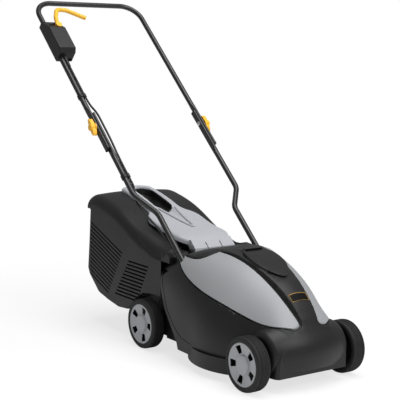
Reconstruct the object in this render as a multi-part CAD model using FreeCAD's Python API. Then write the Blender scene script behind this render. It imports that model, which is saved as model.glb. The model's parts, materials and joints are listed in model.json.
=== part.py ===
"""Small corded rotary lawn mower with a rigid grass box, modelled piece by piece.

Lengths are millimetres. +X is the operator's left, -Y is the way the mower travels, +Z is up.
Every place below is laid out from the rear axle line (y = 0) and the ground (z = 0).
save() then moves the piece so that the origin is the middle of the footprint, on the ground.
"""
import FreeCAD, Part

import math
import os

V = FreeCAD.Vector

# ---------------------------------------------------------------- driving dimensions
FOOTPRINT_MIDDLE_Y = 43.7      # middle of the overall length, measured from the rear axle

WHEEL_R = 70.0                 # tyre radius
WHEELBASE = 465.6
WHEEL_OUT_X = 176.0            # outer face of each wheel
WHEEL_W = 39.0
HUB_R = 57.0                   # where the tyre sits on its wheel
AXLE_R = 5.0
RUNNING_GAP = 0.05             # radial play of a turning piece on its pin

BLADE_Y = -301.0               # motor and blade axis
BLADE_TIP_R = 155.0
BLADE_Z = 36.0
RING_R = 182.0                 # skirt ring round the blade
RING_Z = 22.0                  # ground clearance under the ring
SKIRT_Z = 38.0                 # lower edge of the deck's side walls
PLATE_Z = 98.0                 # underside of the plate that carries the motor
PLATE_T = 6.0
WALL = 4.5                     # wall of the deck and of the motor cover

HANDLE_TILT = math.radians(42.2)
BAR_Y, BAR_Z = 628.0, 966.0    # centre of the cross bar at the top of the handle
TUBE_R = 8.0
TUBE_WALL = 1.4
UPPER_X = 188.0                # centre of each upper leg
LOWER_X = 179.0                # centre of each lower leg beside it
FOLD_S = 538.0                 # fold bolt, measured down the handle from the cross bar
FLAT_W, FLAT_T = 20.5, 8.7     # flattened tube where the legs are bolted together

FLAP_PIN_Y, FLAP_PIN_Z = -90.0, 280.0
BOX_X = 148.0                  # half width of the grass box
BOX_WALL = 2.6

CABLE_R = 3.2
CABLE_X, CABLE_N = -178.5, 6.0         # where the cable lies beside the upper leg
CABLE_END_X, CABLE_END_N = -129.0, -15.0

# ---------------------------------------------------------------- small helpers


def save(node, *shapes):
    """Write one node; several shapes become separate solids of that node."""
    shape = shapes[0] if len(shapes) == 1 else Part.makeCompound(list(shapes))
    shape = shape.copy()
    shape.translate(V(0, -FOOTPRINT_MIDDLE_Y, 0))
    shape.exportStep("parts/" + node + ".step")


def mirrored(shape):
    """The same piece on the other side of the mower."""
    return shape.mirror(V(0, 0, 0), V(1, 0, 0))


def box(x0, x1, y0, y1, z0, z1):
    return Part.makeBox(x1 - x0, y1 - y0, z1 - z0, V(x0, y0, z0))


def rod(radius, start, end):
    axis = end.sub(start)
    return Part.makeCylinder(radius, axis.Length, start, axis)


def tube(outer, inner, start, end):
    return rod(outer, start, end).cut(rod(inner, start, end))


def side_profile(outline, x0, x1):
    """Extrude a closed (y, z) outline from x0 to x1."""
    points = [V(x0, y, z) for y, z in outline]
    wire = Part.makePolygon(points + points[:1])
    return Part.Face(wire).extrude(V(x1 - x0, 0, 0))


def turned(outline, centre, axis=V(1, 0, 0)):
    """Revolve a closed (along, radius) outline about an axis through centre, along X or Z."""
    out = V(0, 0, 1) if axis.x else V(1, 0, 0)
    points = [centre.add(axis * a).add(out * r) for a, r in outline]
    wire = Part.makePolygon(points + points[:1])
    return Part.Face(wire).revolve(centre, axis, 360)


def smooth_curve(points):
    curve = Part.BSplineCurve()
    curve.interpolate(points)
    return curve.toShape()


def largest(shape):
    """Drop the offcuts that a cut leaves behind."""
    return max(shape.Solids, key=lambda solid: solid.Volume)


def fused(first, *others):
    return first.fuse(list(others)).removeSplitter()


# ---------------------------------------------------------------- body form of deck and cover
# y, crown height, half width and fullness of the arch (2 is an ellipse, more is squarer)
BODY_STATIONS = (
    (-62, 262, 158, 5.0),
    (-105, 280, 163, 5.0),
    (-145, 296, 167, 4.4),
    (-200, 307.5, 170, 3.5),
    (-260, 306.5, 173, 2.6),
    (-320, 295.5, 172, 2.15),
    (-375, 272.5, 158, 2.05),
    (-425, 243.5, 138, 1.95),
    (-470, 208, 125, 1.95),
    (-505, 172.5, 120, 2.05),
    (-524, 146, 116, 2.2),
    (-532, 132, 108, 2.3),
)
BELT_Z = 70.0
ARCH_STEPS = 16
COVER_REAR_Y = -118.0
LEDGE_Z = 256.0
NOSE_Y, NOSE_Z = -WHEELBASE, 86.0
NOSE_BOTTOM_Z = 51.0


def arch_section(y, crown, half_width, fullness, inset, floor):
    """One cross-section of the body: a rounded arch on straight sides."""
    height = crown - inset - BELT_Z
    width = half_width - inset
    points = []
    for step in range(ARCH_STEPS + 1):
        angle = math.pi * step / ARCH_STEPS
        c, s = round(math.cos(angle), 9), round(math.sin(angle), 9)
        x = math.copysign(abs(c) ** (2 / fullness), c) * width
        points.append(V(x, y, BELT_Z + height * s ** (2 / fullness)))
    low = [V(-width, y, BELT_Z), V(-width, y, floor), V(width, y, floor), V(width, y, BELT_Z)]
    return Part.Wire([smooth_curve(points)] + [Part.makeLine(a, b) for a, b in zip(low, low[1:])])


def body_form(inset=0.0, floor=SKIRT_Z):
    wires = [arch_section(*station, inset, floor) for station in BODY_STATIONS]
    return Part.makeLoft(wires, True, False)


def nose_form(inset=0.0):
    """Barrel-shaped front between the front wheels, turned about the axle direction."""
    middle, end = 83.6 - inset, 63.0 - inset
    half, tip = 110.0 - inset * 0.3, 124.0 - inset
    axis_point = V(0, NOSE_Y, NOSE_Z)

    def at(x, r):
        return V(x, NOSE_Y - r, NOSE_Z)

    bulge = Part.Arc(at(-half, end), at(0, middle), at(half, end)).toShape()
    left = Part.Arc(at(half, end), at(half + (tip - half) * 0.72, end - 7), at(tip, end - 22)).toShape()
    right = Part.Arc(at(-tip, end - 22), at(-half - (tip - half) * 0.72, end - 7), at(-half, end)).toShape()
    closing = Part.makePolygon([at(tip, end - 22), at(tip, 0), at(-tip, 0), at(-tip, end - 22)])
    face = Part.Face(Part.Wire(Part.__sortEdges__([bulge, left, right] + closing.Edges)))
    barrel = face.revolve(axis_point, V(1, 0, 0), 360)
    return barrel.common(box(-130, 130, -600, NOSE_Y + 70, NOSE_BOTTOM_Z, 200))


def split_form(drop=0.0):
    """Everything above the seam between the deck and the motor cover."""
    seam = [(-60, 262), (-118, 262), (-150, 253), (-190, 232), (-252, 208), (-300, 195), (-340, 183),
            (-400, 165), (-440, 157), (-480, 150), (-560, 142)]
    curve = smooth_curve([V(-220, y, z - drop) for y, z in seam])
    end, start = seam[-1], seam[0]
    rest = Part.makePolygon([V(-220, end[0], end[1] - drop), V(-220, end[0], 400),
                             V(-220, start[0], 400), V(-220, start[0], start[1] - drop)])
    face = Part.Face(Part.Wire([curve] + rest.Edges))
    return face.extrude(V(440, 0, 0)).common(box(-220, 220, -560, COVER_REAR_Y, 100, 400))


def handle_point(x, s, n=0.0):
    """A point x across, s down the handle from the cross bar, n above the handle's plane."""
    c, h = math.cos(HANDLE_TILT), math.sin(HANDLE_TILT)
    return V(x, BAR_Y - s * c - n * h, BAR_Z - s * h + n * c)


HANDLE_DOWN = handle_point(0, 1).sub(handle_point(0, 0))
HANDLE_NORMAL = handle_point(0, 0, 1).sub(handle_point(0, 0))
SOCKET_X, SOCKET_S = 132.0, 1075.0
TUBE_SCREW_S = 1058.0
GROMMET_R = 5.6
COVER_SCREWS = ((-95, -230), (95, -230), (-70, -378), (70, -378))


def wheel_recess(margin=0.0):
    """Room for one front wheel, on the -X side."""
    radius = 73.5 + margin
    inner = WHEEL_OUT_X - WHEEL_W - 3.0 - margin
    around = Part.makeCylinder(radius, 80, V(-inner - 80, -WHEELBASE, WHEEL_R), V(1, 0, 0))
    below = box(-inner - 80, -inner, -WHEELBASE - radius, -WHEELBASE + radius, -10, WHEEL_R)
    return around.fuse(below)


def rear_recess(shift=0.0):
    """Everything behind the sweeping rear edge of the deck's side wall, outside the brackets."""
    edge = [(-58, 300), (-58, 213), (-75, 180), (-98, 132), (-133, 95), (-168, 60), (-184, 20)]
    outline = [(y + shift, z) for y, z in edge] + [(140, 20), (140, 300)]
    return side_profile(outline, -220, -128)


def chute_form(grow=0.0):
    """Channel that carries the cut grass from the blade up into the box."""
    sections = []
    for y, half, low, high in ((-190, 104, 46, 96), (-130, 106, 66, 160), (-61, 108, 84, 228)):
        x, a, b = half + grow, low - grow, high + grow
        sections.append(Part.makePolygon([V(-x, y, a), V(x, y, a), V(x, y, b), V(-x, y, b), V(-x, y, a)]))
    return Part.makeLoft(sections, True, True)


def both_sides(make, *args):
    piece = make(*args)
    return [piece, mirrored(piece)]


def deck():
    """Deck moulding: blade housing, nose, side walls, chute, rear brackets and handle sockets."""
    inner = body_form(WALL, 20)
    outer = body_form().cut(split_form()).cut(box(-220, 220, COVER_REAR_Y, 0, LEDGE_Z, 400))
    motor_bay = inner.common(box(-220, 220, -600, COVER_REAR_Y - 6, PLATE_Z + PLATE_T, 400))
    shell = largest(outer.cut(motor_bay))
    floor = body_form(0.5, 30).common(box(-220, 220, -520, -70, PLATE_Z, PLATE_Z + PLATE_T))
    ring = tube(RING_R, RING_R - 5, V(0, BLADE_Y, RING_Z), V(0, BLADE_Y, 62))
    chute = chute_form(4.0).common(body_form())
    brackets = both_sides(rear_bracket)
    sockets = both_sides(handle_socket)
    walls = [piece.common(body_form(1.0, 20)) for piece in both_sides(recess_wall)]
    solid = shell.fuse([floor, nose_form(), ring, chute] + brackets + sockets + walls)

    chamber = Part.makeCylinder(RING_R - 5, PLATE_Z - 10, V(0, BLADE_Y, 10)).common(inner)
    lower_ring = Part.makeCylinder(RING_R - 5, SKIRT_Z - 10, V(0, BLADE_Y, 10))
    nose_room = nose_form(WALL).fuse(box(-108, 108, -524, -430, 20, 60))
    for wall in both_sides(recess_wall):
        chamber = chamber.cut(wall)
        nose_room = nose_room.cut(wall)
        lower_ring = lower_ring.cut(wall)
    for tool in [chamber, lower_ring, nose_room, chute_form()]:
        solid = solid.cut(tool)
    for make in (wheel_recess, rear_recess, side_pocket, axle_bores):
        for tool in both_sides(make):
            solid = solid.cut(tool)
    for tool in both_sides(handle_bore):
        solid = solid.cut(tool)
    solid = solid.cut(rod(23, V(0, BLADE_Y, PLATE_Z - 5), V(0, BLADE_Y, PLATE_Z + PLATE_T + 5)))
    solid = solid.cut(cable_entry(GROMMET_R + 0.05, 1010, 1060))
    for x, y in COVER_SCREWS:
        solid = solid.cut(rod(2.1, V(x, y, PLATE_Z - 1), V(x, y, PLATE_Z + PLATE_T + 1)))
    for x, y in motor_screw_places():
        solid = solid.cut(rod(2.55, V(x, y, PLATE_Z - 1), V(x, y, PLATE_Z + PLATE_T + 1)))
    for bore in both_sides(tube_screw_bore):
        solid = solid.cut(bore)
    for tool in both_sides(side_groove):
        solid = solid.cut(tool)
    solid = fused(largest(solid), *flap_lugs())
    return largest(solid)


def recess_wall():
    """Wall of the deck round the front wheel's recess."""
    return wheel_recess(3.0).common(box(-180, -120, -600, -380, SKIRT_Z, 150))


def rear_bracket():
    """Arm that carries the rear wheel's axle pin."""
    arm = [(-120, 44), (8, 44), (26, 62), (26, 82), (10, 98), (-50, 112), (-120, 112)]
    return side_profile(arm, -128, -114)


def handle_socket():
    """Boss inside the deck that takes the end of a lower handle tube."""
    start, end = handle_point(-SOCKET_X, 1030), handle_point(-SOCKET_X, SOCKET_S + 8)
    return rod(12.5, start, end).common(body_form(WALL + 0.1))


def handle_bore():
    return rod(TUBE_R + 0.1, handle_point(-SOCKET_X, 940), handle_point(-SOCKET_X, SOCKET_S + 0.1))


def side_pocket():
    """Hollow of the rear corner block, open below."""
    return box(-150, -113, -112, -66, 20, 236).cut(rear_recess(-5)).cut(box(-130, -110, -130, 30, 20, 116))


def cable_entry(radius, s0, s1):
    """Straight round space along the last run of the cable, into the cover beside the tube."""
    return rod(radius, handle_point(CABLE_END_X, s0, CABLE_END_N), handle_point(CABLE_END_X, s1, CABLE_END_N))


def axle_bores():
    front = rod(AXLE_R + 0.02, V(-150, -WHEELBASE, WHEEL_R), V(-100, -WHEELBASE, WHEEL_R))
    rear = rod(AXLE_R + 0.02, V(-150, 0, WHEEL_R), V(-100, 0, WHEEL_R))
    return front.fuse(rear)


def side_groove():
    """Fine groove that follows the sweeping rear edge of the side wall."""
    edge = [(-72, 250), (-72, 212), (-89, 182), (-112, 134), (-148, 98), (-190, 74), (-240, 66)]
    band = edge + [(y - 2.4, z + 1.2) for y, z in reversed(edge)]
    return side_profile(band, -220, -128).cut(body_form(1.6, 10))


def tube_screw_bore():
    centre = handle_point(-SOCKET_X, TUBE_SCREW_S)
    return rod(2.25, centre.add(V(4, 0, 0)), centre.add(V(20, 0, 0)))


def flap_lugs():
    """Two lugs on the deck's rear ledge that hold the hinge pin of the flap."""
    lugs = []
    for x in (-74.5, 69.0):
        post = box(x, x + 5.5, -98, -82, LEDGE_Z - 2, FLAP_PIN_Z)
        head = rod(8, V(x, FLAP_PIN_Y, FLAP_PIN_Z), V(x + 5.5, FLAP_PIN_Y, FLAP_PIN_Z))
        bore = rod(3.02, V(x - 1, FLAP_PIN_Y, FLAP_PIN_Z), V(x + 6.5, FLAP_PIN_Y, FLAP_PIN_Z))
        lugs.append(post.fuse(head).cut(bore))
    return lugs


# ---------------------------------------------------------------- motor cover and its panels
PANEL_LEAN = math.radians(40)      # the panels are cut and pressed in along this direction
PANEL_GROOVE = 4.0
PANEL_DEPTH = 2.5
PANEL_PROUD = 1.8
# leaf-shaped outline of a side panel: y, and distance up its leaning face
LEAF = ((-135, 138), (-167, 133), (-211, 144), (-225, 168), (-229, 184), (-264, 186), (-320, 181),
        (-381, 166), (-440, 143), (-503, 109), (-512, 98), (-511, 83), (-476, 62), (-418, 54),
        (-340, 57), (-252, 67), (-190, 86), (-134, 122))
HEEL, NOTCH, TIP, TOE = 0, 4, 9, 11


def grown(outline, distance):
    """Move every corner of a closed outline outwards, keeping its sides parallel."""
    moved = []
    for k, (y, q) in enumerate(outline):
        (y0, q0), (y1, q1) = outline[k - 1], outline[(k + 1) % len(outline)]
        a = V(q - q0, y0 - y, 0).normalize()
        b = V(q1 - q, y - y1, 0).normalize()
        shift = a.add(b) * (distance / (1 + a.dot(b)))
        moved.append((y + shift.x, q + shift.y))
    return moved


def leaf_prism(grow=0.0):
    """The leaf outline pushed through the side of the cover, on the -X side."""
    lean_c, lean_s = math.cos(PANEL_LEAN), math.sin(PANEL_LEAN)
    outline = grown(LEAF, grow)
    points = [V(-330 * lean_c + q * lean_s, y, 330 * lean_s + q * lean_c) for y, q in outline]
    edges = [smooth_curve(points[HEEL:NOTCH + 1]), smooth_curve(points[NOTCH:TIP + 1]),
             smooth_curve(points[TIP:TOE + 1]), smooth_curve(points[TOE:]),
             Part.makeLine(points[-1], points[HEEL])]
    return Part.Face(Part.Wire(edges)).extrude(V(lean_c, 0, -lean_s) * 310)


def motor_cover():
    """Upper cover: thin shell over the motor with recesses for the panels and a raised tongue."""
    form = body_form()
    shell = form.cut(body_form(WALL, 20))
    cover = largest(shell.common(split_form()).cut(box(-220, 220, COVER_REAR_Y, 0, 0, 400)))
    rear = form.common(box(-220, 220, COVER_REAR_Y - 3.5, COVER_REAR_Y, 105, 400)).common(split_form())
    cover = fused(cover, rear)
    posts = [rod(6, V(x, y, PLATE_Z + PLATE_T + 0.05), V(x, y, 320)) for x, y in COVER_SCREWS]
    cover = cover.fuse([tongue()] + [post.common(body_form(WALL / 2)) for post in posts])
    for x, y in COVER_SCREWS:
        cover = cover.cut(rod(2.0, V(x, y, PLATE_Z), V(x, y, PLATE_Z + PLATE_T + 22)))
    cover = cover.cut(cable_entry(GROMMET_R + 0.05, 1000, 1060))
    for side in (1, -1):
        recess = leaf_prism(PANEL_GROOVE).cut(body_form(PANEL_DEPTH + 0.1, 20))
        for tool in (recess, tube_notch(3.0)):
            cover = cover.cut(tool if side == 1 else mirrored(tool))
    cover = cover.cut(box(-22, 22, -266, -255, 298, 330)).cut(nose_form(-0.2))
    return largest(cover)


def tube_notch(gap):
    """Room round a lower handle tube where it goes down into the deck, on the -X side."""
    return rod(TUBE_R + gap, handle_point(-SOCKET_X, 940), handle_point(-SOCKET_X, SOCKET_S))


def tongue():
    """Raised tongue along the middle of the cover; air goes in under its front lip."""
    plan = [V(-24, -267, 0), V(-43, -294, 0), V(-48, -335, 0), V(-40, -371, 0), V(-22, -398, 0),
            V(0, -412, 0), V(22, -398, 0), V(40, -371, 0), V(48, -335, 0), V(43, -294, 0), V(24, -267, 0)]
    wire = Part.Wire([smooth_curve(plan), Part.makeLine(plan[-1], plan[0])])
    prism = Part.Face(wire).extrude(V(0, 0, 400))
    raised = body_form(-6.5).cut(body_form(3.0, 20)).common(prism)
    intake = body_form(-3.8).cut(body_form(0.0, 20)).common(box(-34, 34, -430, -376, 200, 320))
    return raised.cut(intake)


def side_panel():
    """Light panel pressed into its recess in the cover."""
    skin = body_form(-PANEL_PROUD).cut(body_form(PANEL_DEPTH, 20))
    panel = skin.common(leaf_prism()).common(box(-220, 0, -560, -120, 145, 400))
    return largest(panel.cut(nose_form(-0.2)).cut(tube_notch(2.5)))


# ---------------------------------------------------------------- wheels
SPOKES = 5


def tyre(x_out, y):
    """Tyre with rounded shoulders and two tread grooves; x_out is the outer face, on the -X side."""
    inner, outer = HUB_R + 0.03, WHEEL_R
    w = WHEEL_W
    outline = [(0.6, inner), (0, outer - 5), (1.2, outer - 1.6), (4.5, outer)]
    for groove in (w * 0.34, w * 0.66):
        outline += [(groove - 1.6, outer), (groove - 1.6, outer - 1.6),
                    (groove + 1.6, outer - 1.6), (groove + 1.6, outer)]
    outline += [(w - 4.5, outer), (w - 1.2, outer - 1.6), (w, outer - 5), (w - 0.6, inner)]
    return turned(outline, V(-x_out, y, WHEEL_R))


def window(y):
    """One trapezoid window of the wheel, straight above the axle."""
    low, high = 27.0, 50.5
    outline = [V(-190, y - 6.5, WHEEL_R + low), V(-190, y + 6.5, WHEEL_R + low),
               V(-190, y + 10.5, WHEEL_R + high), V(-190, y - 10.5, WHEEL_R + high)]
    return Part.Face(Part.makePolygon(outline + outline[:1])).extrude(V(40, 0, 0))


def hub(x_out, y, first_window):
    """Moulded wheel: rim, dished web with five windows, and the bearing boss."""
    w, r = WHEEL_W, HUB_R
    bore = AXLE_R + RUNNING_GAP
    outline = [(1.0, r), (w - 1.5, r), (w - 1.5, r - 3), (7, r - 4), (7, 13), (w - 1.5, 12),
               (w - 1.5, bore), (8, bore), (8, 10), (3.5, 10), (3.5, 24), (1.5, 26), (1.5, r - 5)]
    wheel = turned(outline, V(-x_out, y, WHEEL_R))
    for n in range(SPOKES):
        opening = window(y)
        opening.rotate(V(0, y, WHEEL_R), V(1, 0, 0), 360 / SPOKES * n + first_window)
        wheel = wheel.cut(opening)
    return wheel


def wheel_cap(x_out, y):
    """Domed cap that covers the end of the axle."""
    outline = [(3.5, 0), (3.5, 23.8), (1.2, 24.6), (-0.4, 23.4), (-1.4, 18), (-1.8, 0)]
    return turned(outline, V(-x_out, y, WHEEL_R))


def axle_pin(x_head, x_out, y):
    """Stub axle: head inside the deck, collar against it, and a push-on washer outside the hub."""
    end = 4.6
    length = x_out - x_head
    outline = [(end, 0), (end, AXLE_R), (end + 0.8, 8.6), (end + 2.6, 8.6), (end + 2.6, AXLE_R),
               (WHEEL_W - 0.9, AXLE_R), (WHEEL_W - 0.9, 8.5), (WHEEL_W + 2.5, 8.5),
               (WHEEL_W + 2.5, AXLE_R), (length, AXLE_R), (length, 8), (length + 4.5, 8),
               (length + 4.5, 0)]
    return turned(outline, V(-x_out, y, WHEEL_R))


# ---------------------------------------------------------------- motor and blade


def motor_housing():
    z0, z1 = PLATE_Z + PLATE_T + 0.02, 208.0
    outline = [(z0, 24), (z0, 62), (z0 + 5, 62), (z0 + 5, 50), (z1, 50), (z1, 46), (z0 + 4, 46), (z0 + 4, 24)]
    housing = turned(outline, V(0, BLADE_Y, 0), V(0, 0, 1))
    for x, y in motor_screw_places():
        housing = housing.cut(rod(2.6, V(x, y, z0 - 1), V(x, y, z0 + 8)))
    return housing


def motor_screw_places():
    """Three screws round the motor's foot."""
    angles = [math.radians(120 * k + 30) for k in range(3)]
    return [(56 * math.cos(a), BLADE_Y + 56 * math.sin(a)) for a in angles]


def motor_screws():
    z0 = PLATE_Z + PLATE_T + 5.1
    outline = [(z0 - 9, 0), (z0 - 9, 2.5), (z0, 2.5), (z0, 4.6), (z0 + 3, 4.6), (z0 + 3, 0)]
    return [turned(outline, V(x, y, 0), V(0, 0, 1)) for x, y in motor_screw_places()]


def end_bell():
    outline = [(208.1, 42), (208.1, 50), (214, 50), (226, 22), (226, 11), (216, 11), (216, 20), (211, 42)]
    return turned(outline, V(0, BLADE_Y, 0), V(0, 0, 1))


def stator():
    return tube(45.9, 34, V(0, BLADE_Y, 122), V(0, BLADE_Y, 186))


def bearings():
    inner = 6.0 + RUNNING_GAP
    top = tube(10.9, inner, V(0, BLADE_Y, 217), V(0, BLADE_Y, 225))
    low = tube(23.9, inner, V(0, BLADE_Y, PLATE_Z + PLATE_T + 0.1), V(0, BLADE_Y, PLATE_Z + PLATE_T + 9))
    return [top, low]


def rotor_shaft():
    """Armature, commutator and shaft in one turned piece."""
    outline = [(BLADE_Z + 22, 0), (BLADE_Z + 22, 6), (118, 6), (118, 14), (126, 14), (126, 33), (182, 33),
               (182, 16), (202, 16), (202, 6), (226, 6), (226, 0)]
    shaft = turned(outline, V(0, BLADE_Y, 0), V(0, 0, 1))
    return shaft.cut(rod(2.5, V(0, BLADE_Y, BLADE_Z), V(0, BLADE_Y, BLADE_Z + 40)))


def blade_carrier():
    """Hub with a small fan that clamps the blade on the shaft."""
    z0 = BLADE_Z + 3.1
    outline = [(z0, 2.6), (z0, 26), (z0 + 6, 26), (z0 + 10, 14), (z0 + 36, 12), (z0 + 36, 6.0), (z0 + 19, 6.0),
               (z0 + 18.8, 2.6)]
    carrier = turned(outline, V(0, BLADE_Y, 0), V(0, 0, 1))
    vanes = []
    for k in range(6):
        vane = box(12, 40, BLADE_Y - 1.2, BLADE_Y + 1.2, z0 + 5, z0 + 17)
        vane.rotate(V(0, BLADE_Y, 0), V(0, 0, 1), 60 * k)
        vanes.append(vane)
    disc = tube(42, 12, V(0, BLADE_Y, z0 + 17), V(0, BLADE_Y, z0 + 19))
    return fused(carrier, disc, *vanes)


def blade():
    """Bar blade with sharpened leading edges and upturned trailing wings."""
    half, width, t = BLADE_TIP_R, 22.0, 3.0
    plan = [V(-half, -width, 0), V(-60, -width, 0), V(-34, -25, 0), V(34, -25, 0), V(60, -width, 0),
            V(half, -width, 0), V(half, width, 0), V(60, width, 0), V(34, 25, 0), V(-34, 25, 0),
            V(-60, width, 0), V(-half, width, 0)]
    bar = Part.Face(Part.makePolygon(plan + plan[:1])).extrude(V(0, 0, t))
    bar = bar.common(Part.makeCylinder(half, 40, V(0, 0, -10)))
    for turn in (0, 180):
        sharpen = Part.Face(Part.makePolygon([V(70, -width - 1, -1), V(70, -width + 8, t + 1),
                                              V(70, -width - 1, t + 1), V(70, -width - 1, -1)]))
        sharpen = sharpen.extrude(V(100, 0, 0))
        wing = Part.Face(Part.makePolygon([V(96, 8, 0), V(96, 22, 12), V(96, 22, 15), V(96, 8, 3),
                                           V(96, 8, 0)])).extrude(V(56, 0, 0))
        wing = wing.common(Part.makeCylinder(half, 40, V(0, 0, -10)))
        gap = box(96, 160, 8, 30, -1, t + 1)
        for tool in (sharpen, wing, gap):
            tool.rotate(V(0, 0, 0), V(0, 0, 1), turn)
        bar = bar.cut(sharpen).cut(gap).fuse(wing)
    bar = bar.removeSplitter().cut(rod(4.1, V(0, 0, -2), V(0, 0, 6)))
    bar.rotate(V(0, 0, 0), V(0, 0, 1), 24)
    bar.translate(V(0, BLADE_Y, BLADE_Z))
    return bar


def blade_bolt():
    z0 = BLADE_Z
    outline = [(z0 - 7, 0), (z0 - 7, 8), (z0 - 2.2, 8), (z0 - 2.2, 14), (z0 - 0.05, 14), (z0 - 0.05, 4),
               (z0 + 3.1, 4), (z0 + 3.1, 2.4), (z0 + 36, 2.4), (z0 + 36, 0)]
    return turned(outline, V(0, BLADE_Y, 0), V(0, 0, 1))


# ---------------------------------------------------------------- handle


def pipe(points, radius, bends):
    """Solid round bar along a route of straight runs joined by tangent arcs."""
    edges, here = [], points[0]
    for k in range(1, len(points) - 1):
        p, before, after = points[k], points[k - 1], points[k + 1]
        a, b = before.sub(p).normalize(), after.sub(p).normalize()
        half = a.getAngle(b) / 2
        cut = bends[k - 1] / math.tan(half)
        first, last = p.add(a * cut), p.add(b * cut)
        bisector = a.add(b).normalize()
        centre = p.add(bisector * (bends[k - 1] / math.sin(half)))
        middle = centre.sub(bisector * bends[k - 1])
        edges.append(Part.makeLine(here, first))
        edges.append(Part.Arc(first, middle, last).toShape())
        here = last
    edges.append(Part.makeLine(here, points[-1]))
    path = Part.Wire(edges)
    circle = Part.Wire(Part.makeCircle(radius, points[0], points[1].sub(points[0])))
    return path.makePipeShell([circle], True, True)


def stadium(x, s, width, thick):
    """Flattened tube section: thick across X, wide along the handle's normal."""
    r = thick / 2
    straight = width / 2 - r
    p = [handle_point(x + r, s, -straight), handle_point(x + r, s, straight),
         handle_point(x, s, straight + r), handle_point(x - r, s, straight),
         handle_point(x - r, s, -straight), handle_point(x, s, -straight - r)]
    return Part.Wire([Part.makeLine(p[0], p[1]), Part.Arc(p[1], p[2], p[3]).toShape(),
                      Part.makeLine(p[3], p[4]), Part.Arc(p[4], p[5], p[0]).toShape()])


def flattened_end(x, s_end, s_flat, s_round, radius, width, thick):
    """Flat end of a tube and the taper that leads into its round part."""
    flat = Part.Face(stadium(x, s_end, width, thick)).extrude(HANDLE_DOWN * (s_flat - s_end))
    near_round = stadium(x, s_round, 2 * radius + 0.8, 2 * radius + 0.2)
    taper = Part.makeLoft([stadium(x, s_flat, width, thick), near_round], True, True)
    return flat.fuse(taper)


def upper_handle_form(inset=0.0):
    radius = TUBE_R - inset
    width, thick = FLAT_W - 2 * inset, FLAT_T - 2 * inset
    s_round, s_flat, s_end = 460.0, 484.0, 626.0 + (1 if inset else 0)
    route = [handle_point(-UPPER_X, s_round + 0.4), handle_point(-UPPER_X, 0),
             handle_point(UPPER_X, 0), handle_point(UPPER_X, s_round + 0.4)]
    bow = pipe(route, radius, (60.0, 60.0))
    ends = [flattened_end(x, s_end, s_flat, s_round, radius, width, thick) for x in (-UPPER_X, UPPER_X)]
    return bow.fuse(ends)


def bolt_hole(radius):
    return rod(radius, handle_point(-230, FOLD_S), handle_point(230, FOLD_S))


def upper_handle():
    """U-shaped upper handle of round steel tube with flattened ends."""
    solid = upper_handle_form().cut(upper_handle_form(TUBE_WALL))
    return largest(solid.cut(bolt_hole(3.0 + RUNNING_GAP)).removeSplitter())


def lower_tube_form(inset=0.0):
    """One lower leg, on the -X side, with its double bend inwards."""
    radius = TUBE_R - inset
    width, thick = FLAT_W - 2 * inset, FLAT_T - 2 * inset
    extra = 1 if inset else 0
    s_end, s_flat, s_round = 489.0 - extra, 632.0, 656.0
    route = [handle_point(-LOWER_X, s_round - 0.4), handle_point(-LOWER_X, 799),
             handle_point(-SOCKET_X, 871), handle_point(-SOCKET_X, SOCKET_S + extra)]
    leg = pipe(route, radius, (45.0, 45.0))
    end = flattened_end(-LOWER_X, s_end, s_flat, s_round, radius, width, thick)
    return leg.fuse(end)


def lower_tube():
    solid = lower_tube_form().cut(lower_tube_form(TUBE_WALL))
    return largest(solid.cut(bolt_hole(3.0 + RUNNING_GAP)).cut(tube_screw_bore()).removeSplitter())


def fold_bolt():
    """Carriage bolt through both legs, on the -X side; its domed head is on the inner side."""
    head = LOWER_X - FLAT_T / 2 - 0.05
    outline = [(0, 0), (0, 2), (-1.6, 5.5), (-3.2, 7.6), (-4.0, 7.6), (-4.0, 3.0), (-35.2, 3.0), (-35.2, 0)]
    points = [(a + 4.0, r) for a, r in outline]
    return turned(points, handle_point(-head, FOLD_S))


def wing_knob():
    """Wing knob on the fold bolt: round hub and two rounded wings along the handle."""
    x0 = UPPER_X + FLAT_T / 2 + 0.3
    hub_end, wing_end = x0 + 17, x0 + 14
    centre = handle_point(-x0, FOLD_S)
    body = rod(10, centre, handle_point(-hub_end, FOLD_S))
    foot = rod(12.5, centre, handle_point(-x0 - 3, FOLD_S))
    outline = []
    for s, n in ((-25, 3.2), (-16, 6.2), (0, 7.5), (16, 6.2), (25, 3.2)):
        outline.append((s, n))
    upper = smooth_curve([handle_point(-x0 - 2, FOLD_S + s, n) for s, n in outline])
    lower = smooth_curve([handle_point(-x0 - 2, FOLD_S + s, -n) for s, n in outline])
    ends = [Part.Arc(handle_point(-x0 - 2, FOLD_S + k * 25, 3.2), handle_point(-x0 - 2, FOLD_S + k * 27.5, 0),
                     handle_point(-x0 - 2, FOLD_S + k * 25, -3.2)).toShape() for k in (-1, 1)]
    wire = Part.Wire(Part.__sortEdges__([upper, lower] + ends))
    wings = Part.Face(wire).extrude(V(-(wing_end - x0 - 2), 0, 0))
    knob = body.fuse([foot, wings]).removeSplitter()
    bore = rod(3.0 + RUNNING_GAP, handle_point(-x0 + 1, FOLD_S), handle_point(-x0 - 13.6, FOLD_S))
    knob = knob.cut(bore)
    twist = knob.copy()
    twist.rotate(centre, V(1, 0, 0), 12)
    return twist


# ---------------------------------------------------------------- switch box, lever and cable
# across, down the handle and above it: outer shape of the switch box on the -X leg
BOX_OUT, BOX_IN = -202.0, -145.0
BOX_TOP_S, BOX_END_S = 100.0, 250.0
BOX_LOW_N, BOX_HIGH_N = -14.0, 35.0
SPLIT_N = 2.0
LEVER_PIVOT = (-161.0, 134.0)


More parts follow.
